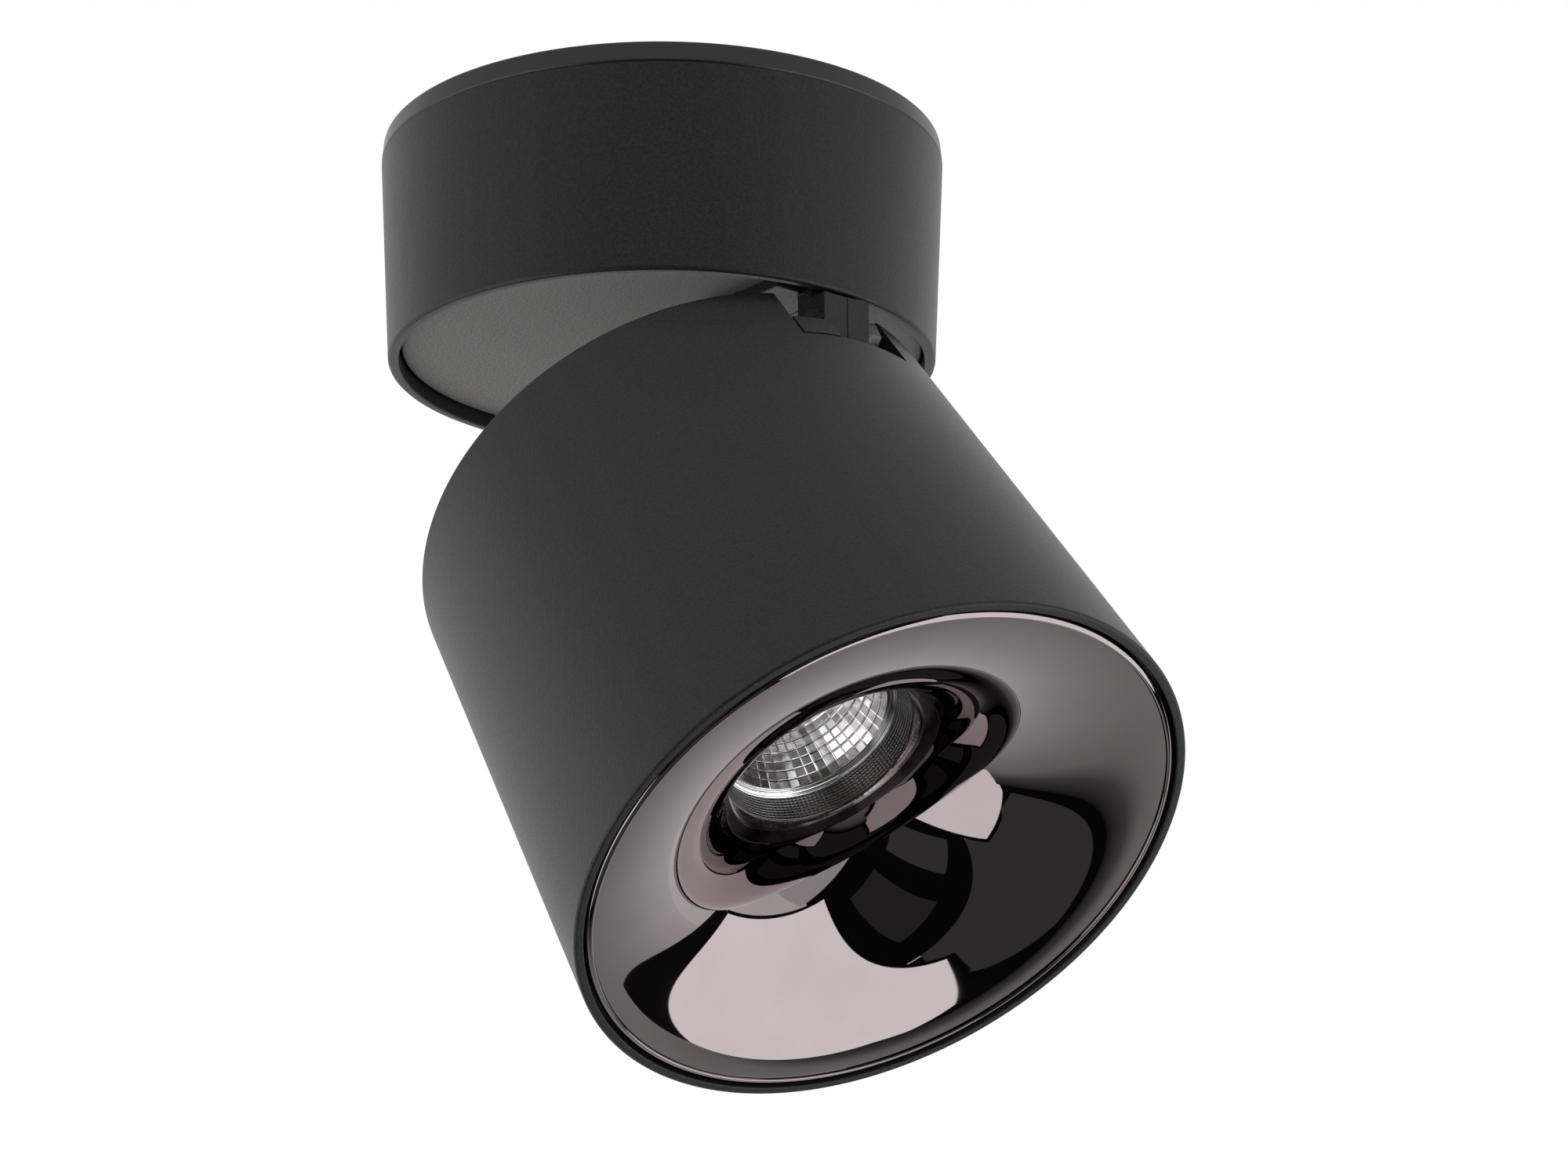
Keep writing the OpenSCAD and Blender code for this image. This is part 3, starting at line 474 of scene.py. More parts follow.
class Bench:
    """Modelling steps that every piece is made with.

    Attributes:
        ROD_SIDES: Segments round a round tool.
        FLAT_DEGREES: Faces of a CAD node closer than this to one plane are joined.
        EDGE_DEGREES: Edges of a CAD node sharper than this are rounded.
    """

    ROD_SIDES = 48
    FLAT_DEGREES = 4
    EDGE_DEGREES = 50

    @staticmethod
    def clear_selection() -> None:
        """Deselects every object."""
        if bpy.context.object is not None and bpy.context.object.mode != "OBJECT":
            bpy.ops.object.mode_set(mode="OBJECT")
        bpy.ops.object.select_all(action="DESELECT")

    @staticmethod
    def settle() -> None:
        """Applies the selected piece's place, turn and scale to its mesh."""
        bpy.ops.object.transform_apply(location=True, rotation=True, scale=True)

    @classmethod
    def pick(cls, piece: Piece) -> None:
        """Selects one object and makes it active."""
        cls.clear_selection()
        piece.select_set(True)
        bpy.context.view_layer.objects.active = piece

    @classmethod
    def turned(cls, name: str, loop: list[Point], steps: Steps) -> Piece:
        """Turns a closed section round the Z axis.

        Args:
            name: The piece's name.
            loop: The section, in millimetres.
            steps: Segments round the axis.

        Returns:
            The solid ring or disc.
        """
        cls.clear_selection()
        radius, height = loop[0]
        bpy.ops.mesh.primitive_plane_add(size=MM, location=(radius * MM, 0, height * MM))
        piece = bpy.context.object
        piece.name = name
        cls.settle()
        bpy.ops.object.mode_set(mode="EDIT")
        bpy.ops.mesh.select_all(action="SELECT")
        bpy.ops.mesh.merge(type="CENTER")
        for (r0, z0), (r1, z1) in zip(loop, loop[1:] + loop[:1]):
            bpy.ops.mesh.extrude_region_move(
                TRANSFORM_OT_translate={"value": ((r1 - r0) * MM, 0, (z1 - z0) * MM)}
            )
        bpy.ops.mesh.select_all(action="SELECT")
        bpy.ops.mesh.remove_doubles(threshold=WELD / 2)
        bpy.ops.mesh.spin(steps=steps.value, angle=2 * math.pi, center=(0, 0, 0), axis=(0, 0, 1))
        cls.tidy_solid()
        return piece

    @staticmethod
    def tidy_solid() -> None:
        """Merges doubles and turns the faces outwards, then leaves edit mode."""
        bpy.ops.mesh.select_all(action="SELECT")
        bpy.ops.mesh.remove_doubles(threshold=WELD)
        bpy.ops.mesh.normals_make_consistent(inside=False)
        bpy.ops.object.mode_set(mode="OBJECT")

    @classmethod
    def block(cls, low: Spot, high: Spot) -> Piece:
        """Adds a box tool between two corners.

        Args:
            low: Lowest corner in millimetres.
            high: Highest corner in millimetres.

        Returns:
            The box.
        """
        cls.clear_selection()
        centre = [(a + b) / 2 * MM for a, b in zip(low, high)]
        bpy.ops.mesh.primitive_cube_add(size=1, location=centre)
        box = bpy.context.object
        box.scale = [(b - a) * MM for a, b in zip(low, high)]
        cls.settle()
        return box

    @classmethod
    def rod(cls, centre: Spot, radius: float, depth: float, turn: Spot = (0, 0, 0),
            tip: float | None = None) -> Piece:
        """Adds a round or tapered tool.

        Args:
            centre: Its middle, in millimetres.
            radius: Its radius.
            depth: Its length along its own Z.
            turn: Its rotation in radians.
            tip: Radius at its far end, where that differs.

        Returns:
            The rod.
        """
        cls.clear_selection()
        bpy.ops.mesh.primitive_cone_add(
            vertices=cls.ROD_SIDES, radius1=radius * MM, radius2=(radius if tip is None else tip) * MM,
            depth=depth * MM, location=[c * MM for c in centre], rotation=turn)
        rod = bpy.context.object
        cls.settle()
        return rod

    @classmethod
    def add_modifier(cls, piece: Piece, kind: str) -> bpy.types.Modifier:
        """Picks a piece, adds one modifier and returns it."""
        cls.pick(piece)
        bpy.ops.object.modifier_add(type=kind)
        return piece.modifiers[-1]

    @classmethod
    def carve(cls, piece: Piece, tool: Piece, how: Carve) -> None:
        """Applies a boolean tool to a piece and removes the tool.

        Args:
            piece: The piece that changes.
            tool: The tool.
            how: Cut, join or keep.
        """
        modifier = cls.add_modifier(piece, "BOOLEAN")
        modifier.operation = how.value
        modifier.solver = "EXACT"
        modifier.object = tool
        bpy.ops.object.modifier_apply(modifier=modifier.name)
        cls.pick(tool)
        bpy.ops.object.delete()

    @classmethod
    def soften(cls, piece: Piece, width: float, segments: int) -> None:
        """Rounds a piece's sharp edges.

        Args:
            piece: The piece.
            width: Width of the rounding in millimetres.
            segments: Its steps.
        """
        modifier = cls.add_modifier(piece, "BEVEL")
        modifier.width = width * MM
        modifier.segments = segments
        modifier.limit_method = "ANGLE"
        modifier.angle_limit = math.radians(cls.EDGE_DEGREES)
        modifier.use_clamp_overlap = True
        bpy.ops.object.modifier_apply(modifier=modifier.name)

    @classmethod
    def smooth(cls, piece: Piece, angle: float = 32, flats: bool = True) -> None:
        """Shades a piece smooth.

        Args:
            piece: The piece.
            angle: Edges sharper than this many degrees stay crisp.
            flats: Whether large faces stay true beside small roundings.
        """
        cls.pick(piece)
        bpy.ops.object.shade_smooth_by_angle(angle=math.radians(angle))
        if flats:
            modifier = cls.add_modifier(piece, "WEIGHTED_NORMAL")
            modifier.keep_sharp = True
            bpy.ops.object.modifier_apply(modifier=modifier.name)

    @classmethod
    def place(cls, piece: Piece, matrix: Matrix) -> None:
        """Moves a piece to its place and applies it to the mesh.

        Args:
            piece: The piece, modelled in its own frame.
            matrix: That frame in the product's frame.
        """
        cls.pick(piece)
        piece.matrix_world = matrix
        cls.settle()

    @classmethod
    def copy_node(cls, node: str, name: str) -> Piece:
        """Copies a CAD node as one clean mesh.

        Args:
            node: The node's name.
            name: The copy's name.

        Returns:
            The copy, which rides on nothing yet.
        """
        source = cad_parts[node]
        piece = bpy.data.objects.new(name, source.data.copy())
        bpy.context.scene.collection.objects.link(piece)
        cls.pick(piece)
        bpy.ops.object.mode_set(mode="EDIT")
        bpy.ops.mesh.select_all(action="SELECT")
        bpy.ops.mesh.remove_doubles(threshold=WELD)
        bpy.ops.mesh.dissolve_limited(angle_limit=math.radians(cls.FLAT_DEGREES))
        bpy.ops.mesh.normals_make_consistent(inside=False)
        bpy.ops.object.mode_set(mode="OBJECT")
        return piece


@dataclass(frozen=True)
class Sizes:
    """The product's sizes in millimetres and its angles in degrees.

    In their names, r is a radius, d a depth, w a width, h a height, t a thickness, x, y and z
    a place, and s a depth behind the lamp's front. A trim is the angle by which the trumpet's
    back stops short. cup_power bends the silver cup's curve.
    """

    # Ceiling plate
    plate_top_r: float = 44.7
    plate_h: float = 3.4
    plate_bevel_h: float = 0.25
    plate_bevel_w: float = 0.22
    skirt_r: float = 41.55
    skirt_in_r: float = 39.75
    skirt_h: float = 7.0
    cable_hole_r: float = 6.5
    slot_y: float = 30.0
    slot_w: float = 4.5
    slot_len: float = 10.0

    # Base casting
    seam_r: float = 45.0
    seam_bevel: float = 0.2
    base_h: float = 36.5
    rim_r: float = 43.4
    rim_in_r: float = 41.7
    floor_z: float = -31.1
    floor_t: float = 2.2
    lock_angle: float = 200.0
    lock_z: float = -6.9
    lock_hole_r: float = 1.6
    lock_hole_len: float = 8.0

    # Rubber grommets
    grommet_wall: float = 1.4
    grommet_lip: float = 1.2
    grommet_edge: float = 0.4

    # Swivel
    disc_z: float = -34.2
    disc_t: float = 2.5
    disc_r: float = 41.35
    stem_r: float = 5.0
    stem_gap: float = 0.05
    stem_bore_r: float = 3.6
    stem_neck_r: float = 4.3
    stem_top_z: float = -22.5
    stem_flange_r: float = 8.0
    stem_flange_t: float = 1.0
    cheek_rounding: float = 0.22

    # Hinge
    tilt: float = 36.25
    hinge_x: float = 40.15
    hinge_z: float = -41.8
    pin_inset: float = 3.3
    arm_rounding: float = 0.2

    # Head casting
    head_back_r: float = 43.45
    head_front_r: float = 48.2
    head_len: float = 79.0
    head_wall: float = 2.4
    seat_r: float = 46.75
    seat_d: float = 2.6
    pocket_x: float = 34.75
    pocket_w: float = 20.6
    pocket_d: float = 11.2
    pocket_wall: float = 1.6
    pocket_floor_z: float = 0.05
    pocket_inset: float = 0.7
    pocket_top: float = 2.0

    # Back cover
    cover_inset: float = 0.6
    cover_t: float = 2.0
    cover_r: float = 40.9
    cover_gap: float = 0.15
    cover_screw_angles: Spot = (60, 180, 300)
    rear_hole_r: float = 4.5
    boss_at: float = 36.0
    screw_hole_r: float = 1.35
    sink_r: float = 2.7
    sink_tip_r: float = 1.2
    sink_len: float = 1.5
    sink_z: float = 0.6

    # Trumpet insert
    insert_r: float = 46.3
    bead_top_s: float = 0.15
    bead_r: float = 0.88
    bead_nose_r: float = 0.2
    groove_w: float = 1.09
    groove_s: float = 0.85
    lip_r: float = 45.1
    lip_s: float = 0.6
    lip_out: float = 0.04
    lip_drop: float = 0.1
    trumpet_r: float = 32.15
    curve_r: float = 46.61
    curve_s: float = 32.71
    trumpet_wall: float = 1.6
    flange_w: float = 4.6
    flange_s: float = 3.2
    flange_trim: float = 10.0
    throat_r: float = 15.4
    throat_s: float = 25.0
    throat_trim: float = 1.0

    # Silver cup and dark band
    mouth_r: float = 14.0
    mouth_s: float = 30.0
    cup_r: float = 7.6
    cup_z: float = 26.5
    cup_power: float = 1.45
    rim_bead_r: float = 0.2
    rim_step_w: float = 0.25
    rim_step_h: float = 0.55
    rim_w: float = 1.0
    band_edge_r: float = 0.12
    band_edge_w: float = 1.0
    band_front_gap: float = 0.3
    band_side_gap: float = 0.1

    def head_place(self) -> Matrix:
        """Returns the head's own frame: back centre at the origin, +Z to the front."""
        hinge = Vector((self.hinge_x, 0, self.hinge_z)) * MM
        back = Vector((-self.hinge_x, 0, self.pin_inset)) * MM
        return (Matrix.Translation(hinge) @ Matrix.Rotation(math.radians(-self.tilt), 4, "Y")
                @ Matrix.Translation(back) @ Matrix.Rotation(math.pi, 4, "X"))

    def face_middle(self) -> Vector:
        """Returns the middle of the lamp's front, in metres."""
        return self.head_place() @ Vector((0, 0, self.head_len * MM))


@dataclass
class Maker:
    """What the assemblies share: the sizes, the finishes and how a piece is handed over.

    Attributes:
        sizes: The product's sizes.
        book: Its finishes.
    """

    sizes: Sizes
    book: FinishBook

    def hand_over(self, piece: Piece, body: str, finish: str, slot: str, *nodes: str) -> None:
        """Dresses a piece, lets it ride and hides the CAD nodes that it replaces.

        Args:
            piece: The finished piece.
            body: The body that it rides on.
            finish: Its finish's key.
            slot: The record's material slot; not used.
            nodes: The CAD nodes that it replaces.
        """
        self.book.dress(piece, finish)
        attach(piece, body)
        if nodes:
            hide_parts(*nodes)
        LOG.info("%s rides on %s, %d faces", piece.name, body, len(piece.data.polygons))

    def dress_nodes(self, finish: str, *nodes: str) -> None:
        """Gives CAD nodes that stay as they are a finish."""
        for node in nodes:
            self.book.dress(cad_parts[node], finish)
            LOG.info("%s keeps its CAD shape, finish %s", node, finish)


@dataclass
class BaseAssembly(Maker):
    """Ceiling plate, base casting and what they hold."""

    def build(self) -> None:
        """Builds and dresses the base."""
        self.ceiling_plate()
        self.casting()
        self.grommet()
        self.dress_nodes("white", "terminal_block", "driver_case", "driver_lid")
        self.dress_nodes("brass", "terminal_clamps")
        self.dress_nodes("board", "driver_board")
        self.dress_nodes("steel", "plate_screws")
        self.dress_nodes("dark_steel", "lock_screw")
        self.dress_nodes("nylon", "friction_ring")

    def ceiling_plate(self) -> None:
        """Models the plate above the seam, with its skirt and its two slots."""
        s = self.sizes
        section = Outline(
            (s.cable_hole_r, 0), (s.plate_top_r, 0),
            (s.seam_r, -s.plate_h + s.plate_bevel_h),
            (s.seam_r - s.plate_bevel_w, -s.plate_h),
            (s.skirt_r, -s.plate_h), (s.skirt_r, -s.plate_h - s.skirt_h),
            (s.skirt_in_r, -s.plate_h - s.skirt_h), (s.skirt_in_r, -s.plate_h),
            (s.cable_hole_r, -s.plate_h),
        )
        edges = {0: 0.3, 1: 0.55, 2: 0.12, 5: 0.3, 6: 0.3}
        plate = Bench.turned("ceiling_plate", section.rounded(edges), Steps.CASTING)
        for side in (-1, 1):
            half = (s.slot_len - s.slot_w) / 2
            slot = Bench.block((-s.slot_w / 2, side * s.slot_y - half, -s.plate_h - OVERRUN),
                               (s.slot_w / 2, side * s.slot_y + half, OVERRUN))
            for end in (-1, 1):
                Bench.carve(slot, Bench.rod((0, side * s.slot_y + end * half, -s.plate_h / 2),
                                            s.slot_w / 2, s.plate_h + 2 * OVERRUN), Carve.JOIN)
            Bench.carve(plate, slot, Carve.CUT)
        Bench.smooth(plate)
        self.hand_over(plate, "base", "plate", "plate_plastic", "mounting_plate")

    def casting(self) -> None:
        """Models the tapered wall with its floor and the hole of the lock screw."""
        s = self.sizes
        section = Outline(
            (s.rim_in_r, -s.base_h), (s.rim_r, -s.base_h),
            (s.seam_r, -s.plate_h - s.seam_bevel), (s.seam_r - s.seam_bevel, -s.plate_h),
            (s.rim_in_r, -s.plate_h), (s.rim_in_r, s.floor_z + s.floor_t),
            (s.stem_r + s.stem_gap, s.floor_z + s.floor_t),
            (s.stem_r + s.stem_gap, s.floor_z),
            (s.rim_in_r, s.floor_z),
        )
        edges = {0: 0.28, 1: 0.62, 2: 0.1, 3: 0.1}
        housing = Bench.turned("base_casting", section.rounded(edges), Steps.CASTING)
        angle = math.radians(s.lock_angle)
        spot = (math.cos(angle) * s.seam_r, math.sin(angle) * s.seam_r, s.lock_z)
        hole = Bench.rod(spot, s.lock_hole_r, s.lock_hole_len, (0, math.pi / 2, angle))
        Bench.carve(housing, hole, Carve.CUT)
        Bench.smooth(housing)
        self.hand_over(housing, "base", "powder", "black_coat", "base_housing")

    def grommet(self) -> None:
        """Models the soft ring in the cable hole."""
        s = self.sizes
        bore, lip = s.cable_hole_r - s.grommet_wall, s.cable_hole_r + s.grommet_lip
        section = Outline(
            (bore, -s.plate_h - s.grommet_lip), (lip, -s.plate_h - s.grommet_lip),
            (lip, -s.plate_h), (s.cable_hole_r, -s.plate_h),
            (s.cable_hole_r, -s.grommet_edge), (bore, -s.grommet_edge),
        )
        edges = {0: 0.4, 1: 0.4, 4: 0.3, 5: 0.5}
        ring = Bench.turned("entry_grommet", section.rounded(edges), Steps.SMALL)
        Bench.smooth(ring)
        self.hand_over(ring, "base", "rubber", "rubber", "cable_grommet")


@dataclass
class SwivelAssembly(Maker):
    """Swivel disc, its pivot and the swivel side of the hinge."""

    def build(self) -> None:
        """Builds and dresses the swivel."""
        self.disc()
        self.stem()
        self.cheeks()
        self.dress_nodes("steel", "spring_washer", "stop_washer", "stem_nut")
        self.dress_nodes("dark_steel", "bracket_screws", "hinge_pin", "pin_washer", "pin_nut")

    def disc(self) -> None:
        """Models the grainy disc recessed in the rim."""
        s = self.sizes
        top = s.disc_z + s.stem_flange_t
        section = Outline(
            (s.stem_flange_r, s.disc_z), (s.disc_r, s.disc_z),
            (s.disc_r, s.disc_z + s.disc_t), (s.stem_r, s.disc_z + s.disc_t),
            (s.stem_r, top), (s.stem_flange_r, top),
        )
        disc = Bench.turned("swivel_plate", section.rounded({1: 0.5, 2: 0.3}), Steps.CASTING)
        Bench.smooth(disc)
        self.hand_over(disc, "swivel", "disc", "disc_coat", "swivel_disc")

    def stem(self) -> None:
        """Models the hollow stem's flange and tube."""
        s = self.sizes
        top, neck = s.disc_z + s.stem_flange_t, s.floor_z + s.floor_t
        section = Outline(
            (s.stem_bore_r, s.disc_z), (s.stem_flange_r, s.disc_z),
            (s.stem_flange_r, top), (s.stem_r, top),
            (s.stem_r, neck), (s.stem_neck_r, neck),
            (s.stem_neck_r, s.stem_top_z), (s.stem_bore_r, s.stem_top_z),
        )
        stem = Bench.turned("hollow_stem", section.rounded({0: 0.35, 1: 0.15}), Steps.SMALL)
        Bench.smooth(stem)
        self.hand_over(stem, "swivel", "steel", "steel", "pivot_stem")

    def cheeks(self) -> None:
        """Rounds the edges of the hinge block's two halves."""
        s = self.sizes
        for node, name in (("hinge_bracket", "bracket_cheek"), ("hinge_cheek", "clamp_cheek")):
            piece = Bench.copy_node(node, name)
            Bench.soften(piece, s.cheek_rounding, segments=3)
            Bench.smooth(piece, angle=40)
            self.hand_over(piece, "swivel", "powder", "black_coat", node)


@dataclass
class HeadAssembly(Maker):
    """Lamp head: casting, back cover and the head side of the hinge."""

    def build(self) -> None:
        """Builds and dresses the head."""
        self.casting()
        self.back_cover()
        self.grommet()
        self.arm()
        self.dress_nodes("dark_steel", "arm_screws", "cover_screws")
        self.dress_nodes("aluminium", "heat_sink")
        self.dress_nodes("steel", "sink_screws", "cob_screws", "insert_springs")
        self.dress_nodes("ceramic", "cob_board")
        self.dress_nodes("phosphor", "cob_phosphor")
        self.dress_nodes("white", "cob_holder")

    def casting(self) -> None:
        """Models the tapered shell with its front seat and the hinge pocket."""
        s = self.sizes
        seat_z = s.head_len - s.seat_d
        in_back = s.head_back_r - s.head_wall
        in_front = in_back + (s.head_front_r - s.head_back_r) * seat_z / s.head_len
        section = Outline(
            (in_back, 0), (in_front, seat_z), (s.seat_r, seat_z),
            (s.seat_r, s.head_len), (s.head_front_r, s.head_len), (s.head_back_r, 0),
        )
        edges = {0: 0.3, 3: 0.2, 4: 0.5, 5: 0.6}
        shell = Bench.turned("head_casting", section.rounded(edges, count=6), Steps.CASTING)
        core = Outline(
            (0, s.pocket_floor_z), (s.head_back_r - s.pocket_inset, s.pocket_floor_z),
            (s.head_back_r, s.pocket_d + s.pocket_top), (0, s.pocket_d + s.pocket_top),
        )
        room = Bench.block((s.pocket_x - s.pocket_wall, -s.pocket_w / 2 - s.pocket_wall, -OVERRUN),
                           (s.head_front_r, s.pocket_w / 2 + s.pocket_wall, s.pocket_d + s.pocket_wall))
        Bench.carve(room, Bench.turned("core", core.points, Steps.TOOL), Carve.KEEP)
        Bench.carve(shell, room, Carve.JOIN)
        pocket = Bench.block((s.pocket_x, -s.pocket_w / 2, -OVERRUN),
                             (s.head_front_r + 2 * OVERRUN, s.pocket_w / 2, s.pocket_d))
        Bench.carve(shell, pocket, Carve.CUT)
        Bench.smooth(shell)
        Bench.place(shell, s.head_place())
        self.hand_over(shell, "head", "powder", "black_coat", "head_housing")

    def back_cover(self) -> None:
        """Models the plate in the head's back, with its countersunk screw holes."""
        s = self.sizes
        z0, z1 = s.cover_inset, s.cover_inset + s.cover_t
        section = Outline(
            (s.rear_hole_r, z0), (s.cover_r, z0),
            (s.cover_r, z1), (s.rear_hole_r, z1),
        )
        cover = Bench.turned("back_cover", section.rounded({1: 0.3}), Steps.CASTING)
        edge = s.pocket_wall + s.cover_gap
        pocket = Bench.block((s.pocket_x - edge, -s.pocket_w / 2 - edge, -OVERRUN),
                             (s.head_back_r, s.pocket_w / 2 + edge, z1 + OVERRUN))
        Bench.carve(cover, pocket, Carve.CUT)
        for angle in s.cover_screw_angles:
            spot = Vector((s.boss_at, 0, 0))
            spot.rotate(Matrix.Rotation(math.radians(angle), 3, "Z"))
            hole = Bench.rod((spot.x, spot.y, (z0 + z1) / 2), s.screw_hole_r, s.cover_t + 2 * OVERRUN)
            Bench.carve(cover, hole, Carve.CUT)
            sink = Bench.rod((spot.x, spot.y, z0 + s.sink_z), s.sink_r, s.sink_len, tip=s.sink_tip_r)
            Bench.carve(cover, sink, Carve.CUT)
        Bench.smooth(cover)
        Bench.place(cover, s.head_place())
        self.hand_over(cover, "head", "powder", "black_coat", "rear_cover")

    def grommet(self) -> None:
        """Models the soft ring where the lead enters the head."""
        s = self.sizes
        z0, z1 = s.cover_inset, s.cover_inset + s.cover_t
        bore, lip = s.rear_hole_r - s.grommet_wall, s.rear_hole_r + s.grommet_lip
        section = Outline(
            (bore, z0 - s.grommet_edge), (lip, z0 - s.grommet_edge),
            (lip, z0), (s.rear_hole_r, z0), (s.rear_hole_r, z1), (lip, z1),
            (lip, z1 + s.grommet_lip), (bore, z1 + s.grommet_lip),
        )
        edges = {0: 0.35, 1: 0.25, 6: 0.4, 7: 0.4}
        ring = Bench.turned("lead_grommet", section.rounded(edges), Steps.SMALL)
        Bench.smooth(ring)
        Bench.place(ring, s.head_place())
        self.hand_over(ring, "head", "rubber", "rubber", "rear_grommet")

    def arm(self) -> None:
        """Rounds the edges of the hinge arm."""
        piece = Bench.copy_node("hinge_arm", "tongue_arm")
        Bench.soften(piece, self.sizes.arm_rounding, segments=2)
        Bench.smooth(piece, angle=40)
        self.hand_over(piece, "head", "powder", "black_coat", "hinge_arm")


@dataclass(frozen=True)
class FacetGrid:
    """How a ring's inner wall is divided into small pillows.

    Attributes:
        columns: Facets round the ring.
        rows: Facets from back to front.
        wall: Thickness outwards, in millimetres.
        border: Width of a facet's outer slope, as a share of its own width.
        pillow: Height of a facet's raised middle, in millimetres.
        SLOPES: Each slope's width as a share of the border, and its rise as a share of the pillow.
    """

    columns: int
    rows: int
    wall: float
    border: float
    pillow: float
    SLOPES = ((0.5, 0.6), (1.0, 0.3), (1.3, 0.1))


@dataclass
class OpticAssembly(Maker):
    """Trumpet insert, dark band and silver cup."""

    def build(self) -> None:
        """Builds and dresses the optics."""
        self.trumpet()
        self.band()
        self.cup()

    def depth(self, s_mm: float) -> float:
        """Returns the height in the head's frame of a depth behind its front rim."""
        return self.sizes.head_len - s_mm

    def trumpet(self) -> None:
        """Models the mirror insert: bead, groove, one round curve and its back."""
        s = self.sizes
        start = math.degrees(math.atan2(s.lip_s - s.curve_s, s.lip_r - s.curve_r))
        end = math.degrees(math.atan2(s.throat_s - s.curve_s, s.throat_r - s.curve_r))
        inner = s.trumpet_r - s.trumpet_wall
        section = Outline((s.insert_r, s.seat_d))
        crest = s.insert_r - s.bead_r
        section.arc((crest, s.bead_top_s + s.bead_r), s.bead_r, 0, -90, count=14)
        section.arc((crest, s.bead_top_s + s.bead_nose_r), s.bead_nose_r, -90, -180, count=6)
        section.corner(s.insert_r - s.groove_w, s.groove_s)
        section.corner(s.lip_r + s.lip_out, s.lip_s + s.lip_drop)
        section.arc((s.curve_r, s.curve_s), s.trumpet_r, start, end, count=88)
        section.arc((s.curve_r, s.curve_s), inner, end + s.throat_trim, start - s.flange_trim, count=24)
        section.corner(s.lip_r - s.flange_w, s.flange_s).corner(s.lip_r, s.flange_s)
        section.corner(s.lip_r, s.seat_d)
        loop = [(r, self.depth(d)) for r, d in section.points]
        insert = Bench.turned("trumpet_insert", loop, Steps.MIRROR)
        Bench.smooth(insert, angle=25, flats=False)
        Bench.place(insert, s.head_place())
        self.hand_over(insert, "head", "mirror", "black_chrome", "reflector_insert")

    def facets(self, name: str, grid: FacetGrid, rings: list[Point]) -> Piece:
        """Models a ring whose inner wall is a grid of small pillows.

        Args:
            name: The piece's name.
            grid: Its facets.
            rings: Radius and height of each edge between rows, from the back, in millimetres.

        Returns:
            The ring, in the head's frame.
        """
        Bench.clear_selection()
        radius, height = rings[0]
        bpy.ops.mesh.primitive_circle_add(vertices=grid.columns, radius=radius * MM,
                                          location=(0, 0, height * MM))
        piece = bpy.context.object
        piece.name = name
        Bench.settle()
        bpy.ops.object.mode_set(mode="EDIT")
        bpy.ops.mesh.select_all(action="SELECT")
        for (r0, z0), (r1, z1) in zip(rings, rings[1:]):
            bpy.ops.mesh.extrude_region_move(TRANSFORM_OT_translate={"value": (0, 0, (z1 - z0) * MM)})
            bpy.ops.transform.resize(value=(r1 / r0, r1 / r0, 1), center_override=(0, 0, 0))
        bpy.ops.mesh.select_all(action="SELECT")
        bpy.ops.mesh.normals_make_consistent(inside=True)
        border = 2 * math.pi * radius / grid.columns * grid.border
        bpy.ops.mesh.select_mode(type="FACE")
        bpy.ops.mesh.select_all(action="SELECT")
        for share, rise in grid.SLOPES:
            bpy.ops.mesh.inset(thickness=border * share * MM, depth=grid.pillow * rise * MM,
                               use_individual=True)
        bpy.ops.mesh.select_mode(type="VERT")
        bpy.ops.object.mode_set(mode="OBJECT")
        modifier = Bench.add_modifier(piece, "SOLIDIFY")
        modifier.thickness = grid.wall * MM
        modifier.offset = -1
        bpy.ops.object.modifier_apply(modifier=modifier.name)
        return piece

    def rim_beads(self) -> tuple[Point, Point]:
        """Returns the centres of the cup rim's two round beads, as radius and height."""
        s = self.sizes
        radius, height = s.mouth_r + s.rim_bead_r, self.depth(s.mouth_s) + s.rim_bead_r / 2
        return (radius, height), (radius + s.rim_step_w, height + s.rim_step_h)

    def cup(self) -> None:
        """Models the silver cup of square facets, with its polished double rim."""
        s = self.sizes
        grid = FacetGrid(columns=48, rows=16, wall=0.9, border=0.13, pillow=0.036)
        z1 = self.depth(s.mouth_s)
        rings = [(s.cup_r + (s.mouth_r - s.cup_r) * (i / grid.rows) ** s.cup_power,
                  s.cup_z + (z1 - s.cup_z) * i / grid.rows) for i in range(grid.rows + 1)]
        cup = self.facets("silver_cup", grid, rings)
        Bench.smooth(cup, angle=3, flats=False)
        Bench.place(cup, s.head_place())
        self.hand_over(cup, "head", "silver", "silver_film", "silver_reflector")
        section = Outline()
        first, second = self.rim_beads()
        for centre in (first, second):
            section.arc(centre, s.rim_bead_r, 270, 90, count=10)
        section.corner(s.mouth_r + s.rim_w, second[1] + s.rim_bead_r)
        section.corner(s.mouth_r + s.rim_w, first[1] - s.rim_bead_r)
        rim = Bench.turned("cup_rim", section.points, Steps.RING)
        Bench.smooth(rim, flats=False)
        Bench.place(rim, s.head_place())
        self.hand_over(rim, "head", "silver", "silver_film")

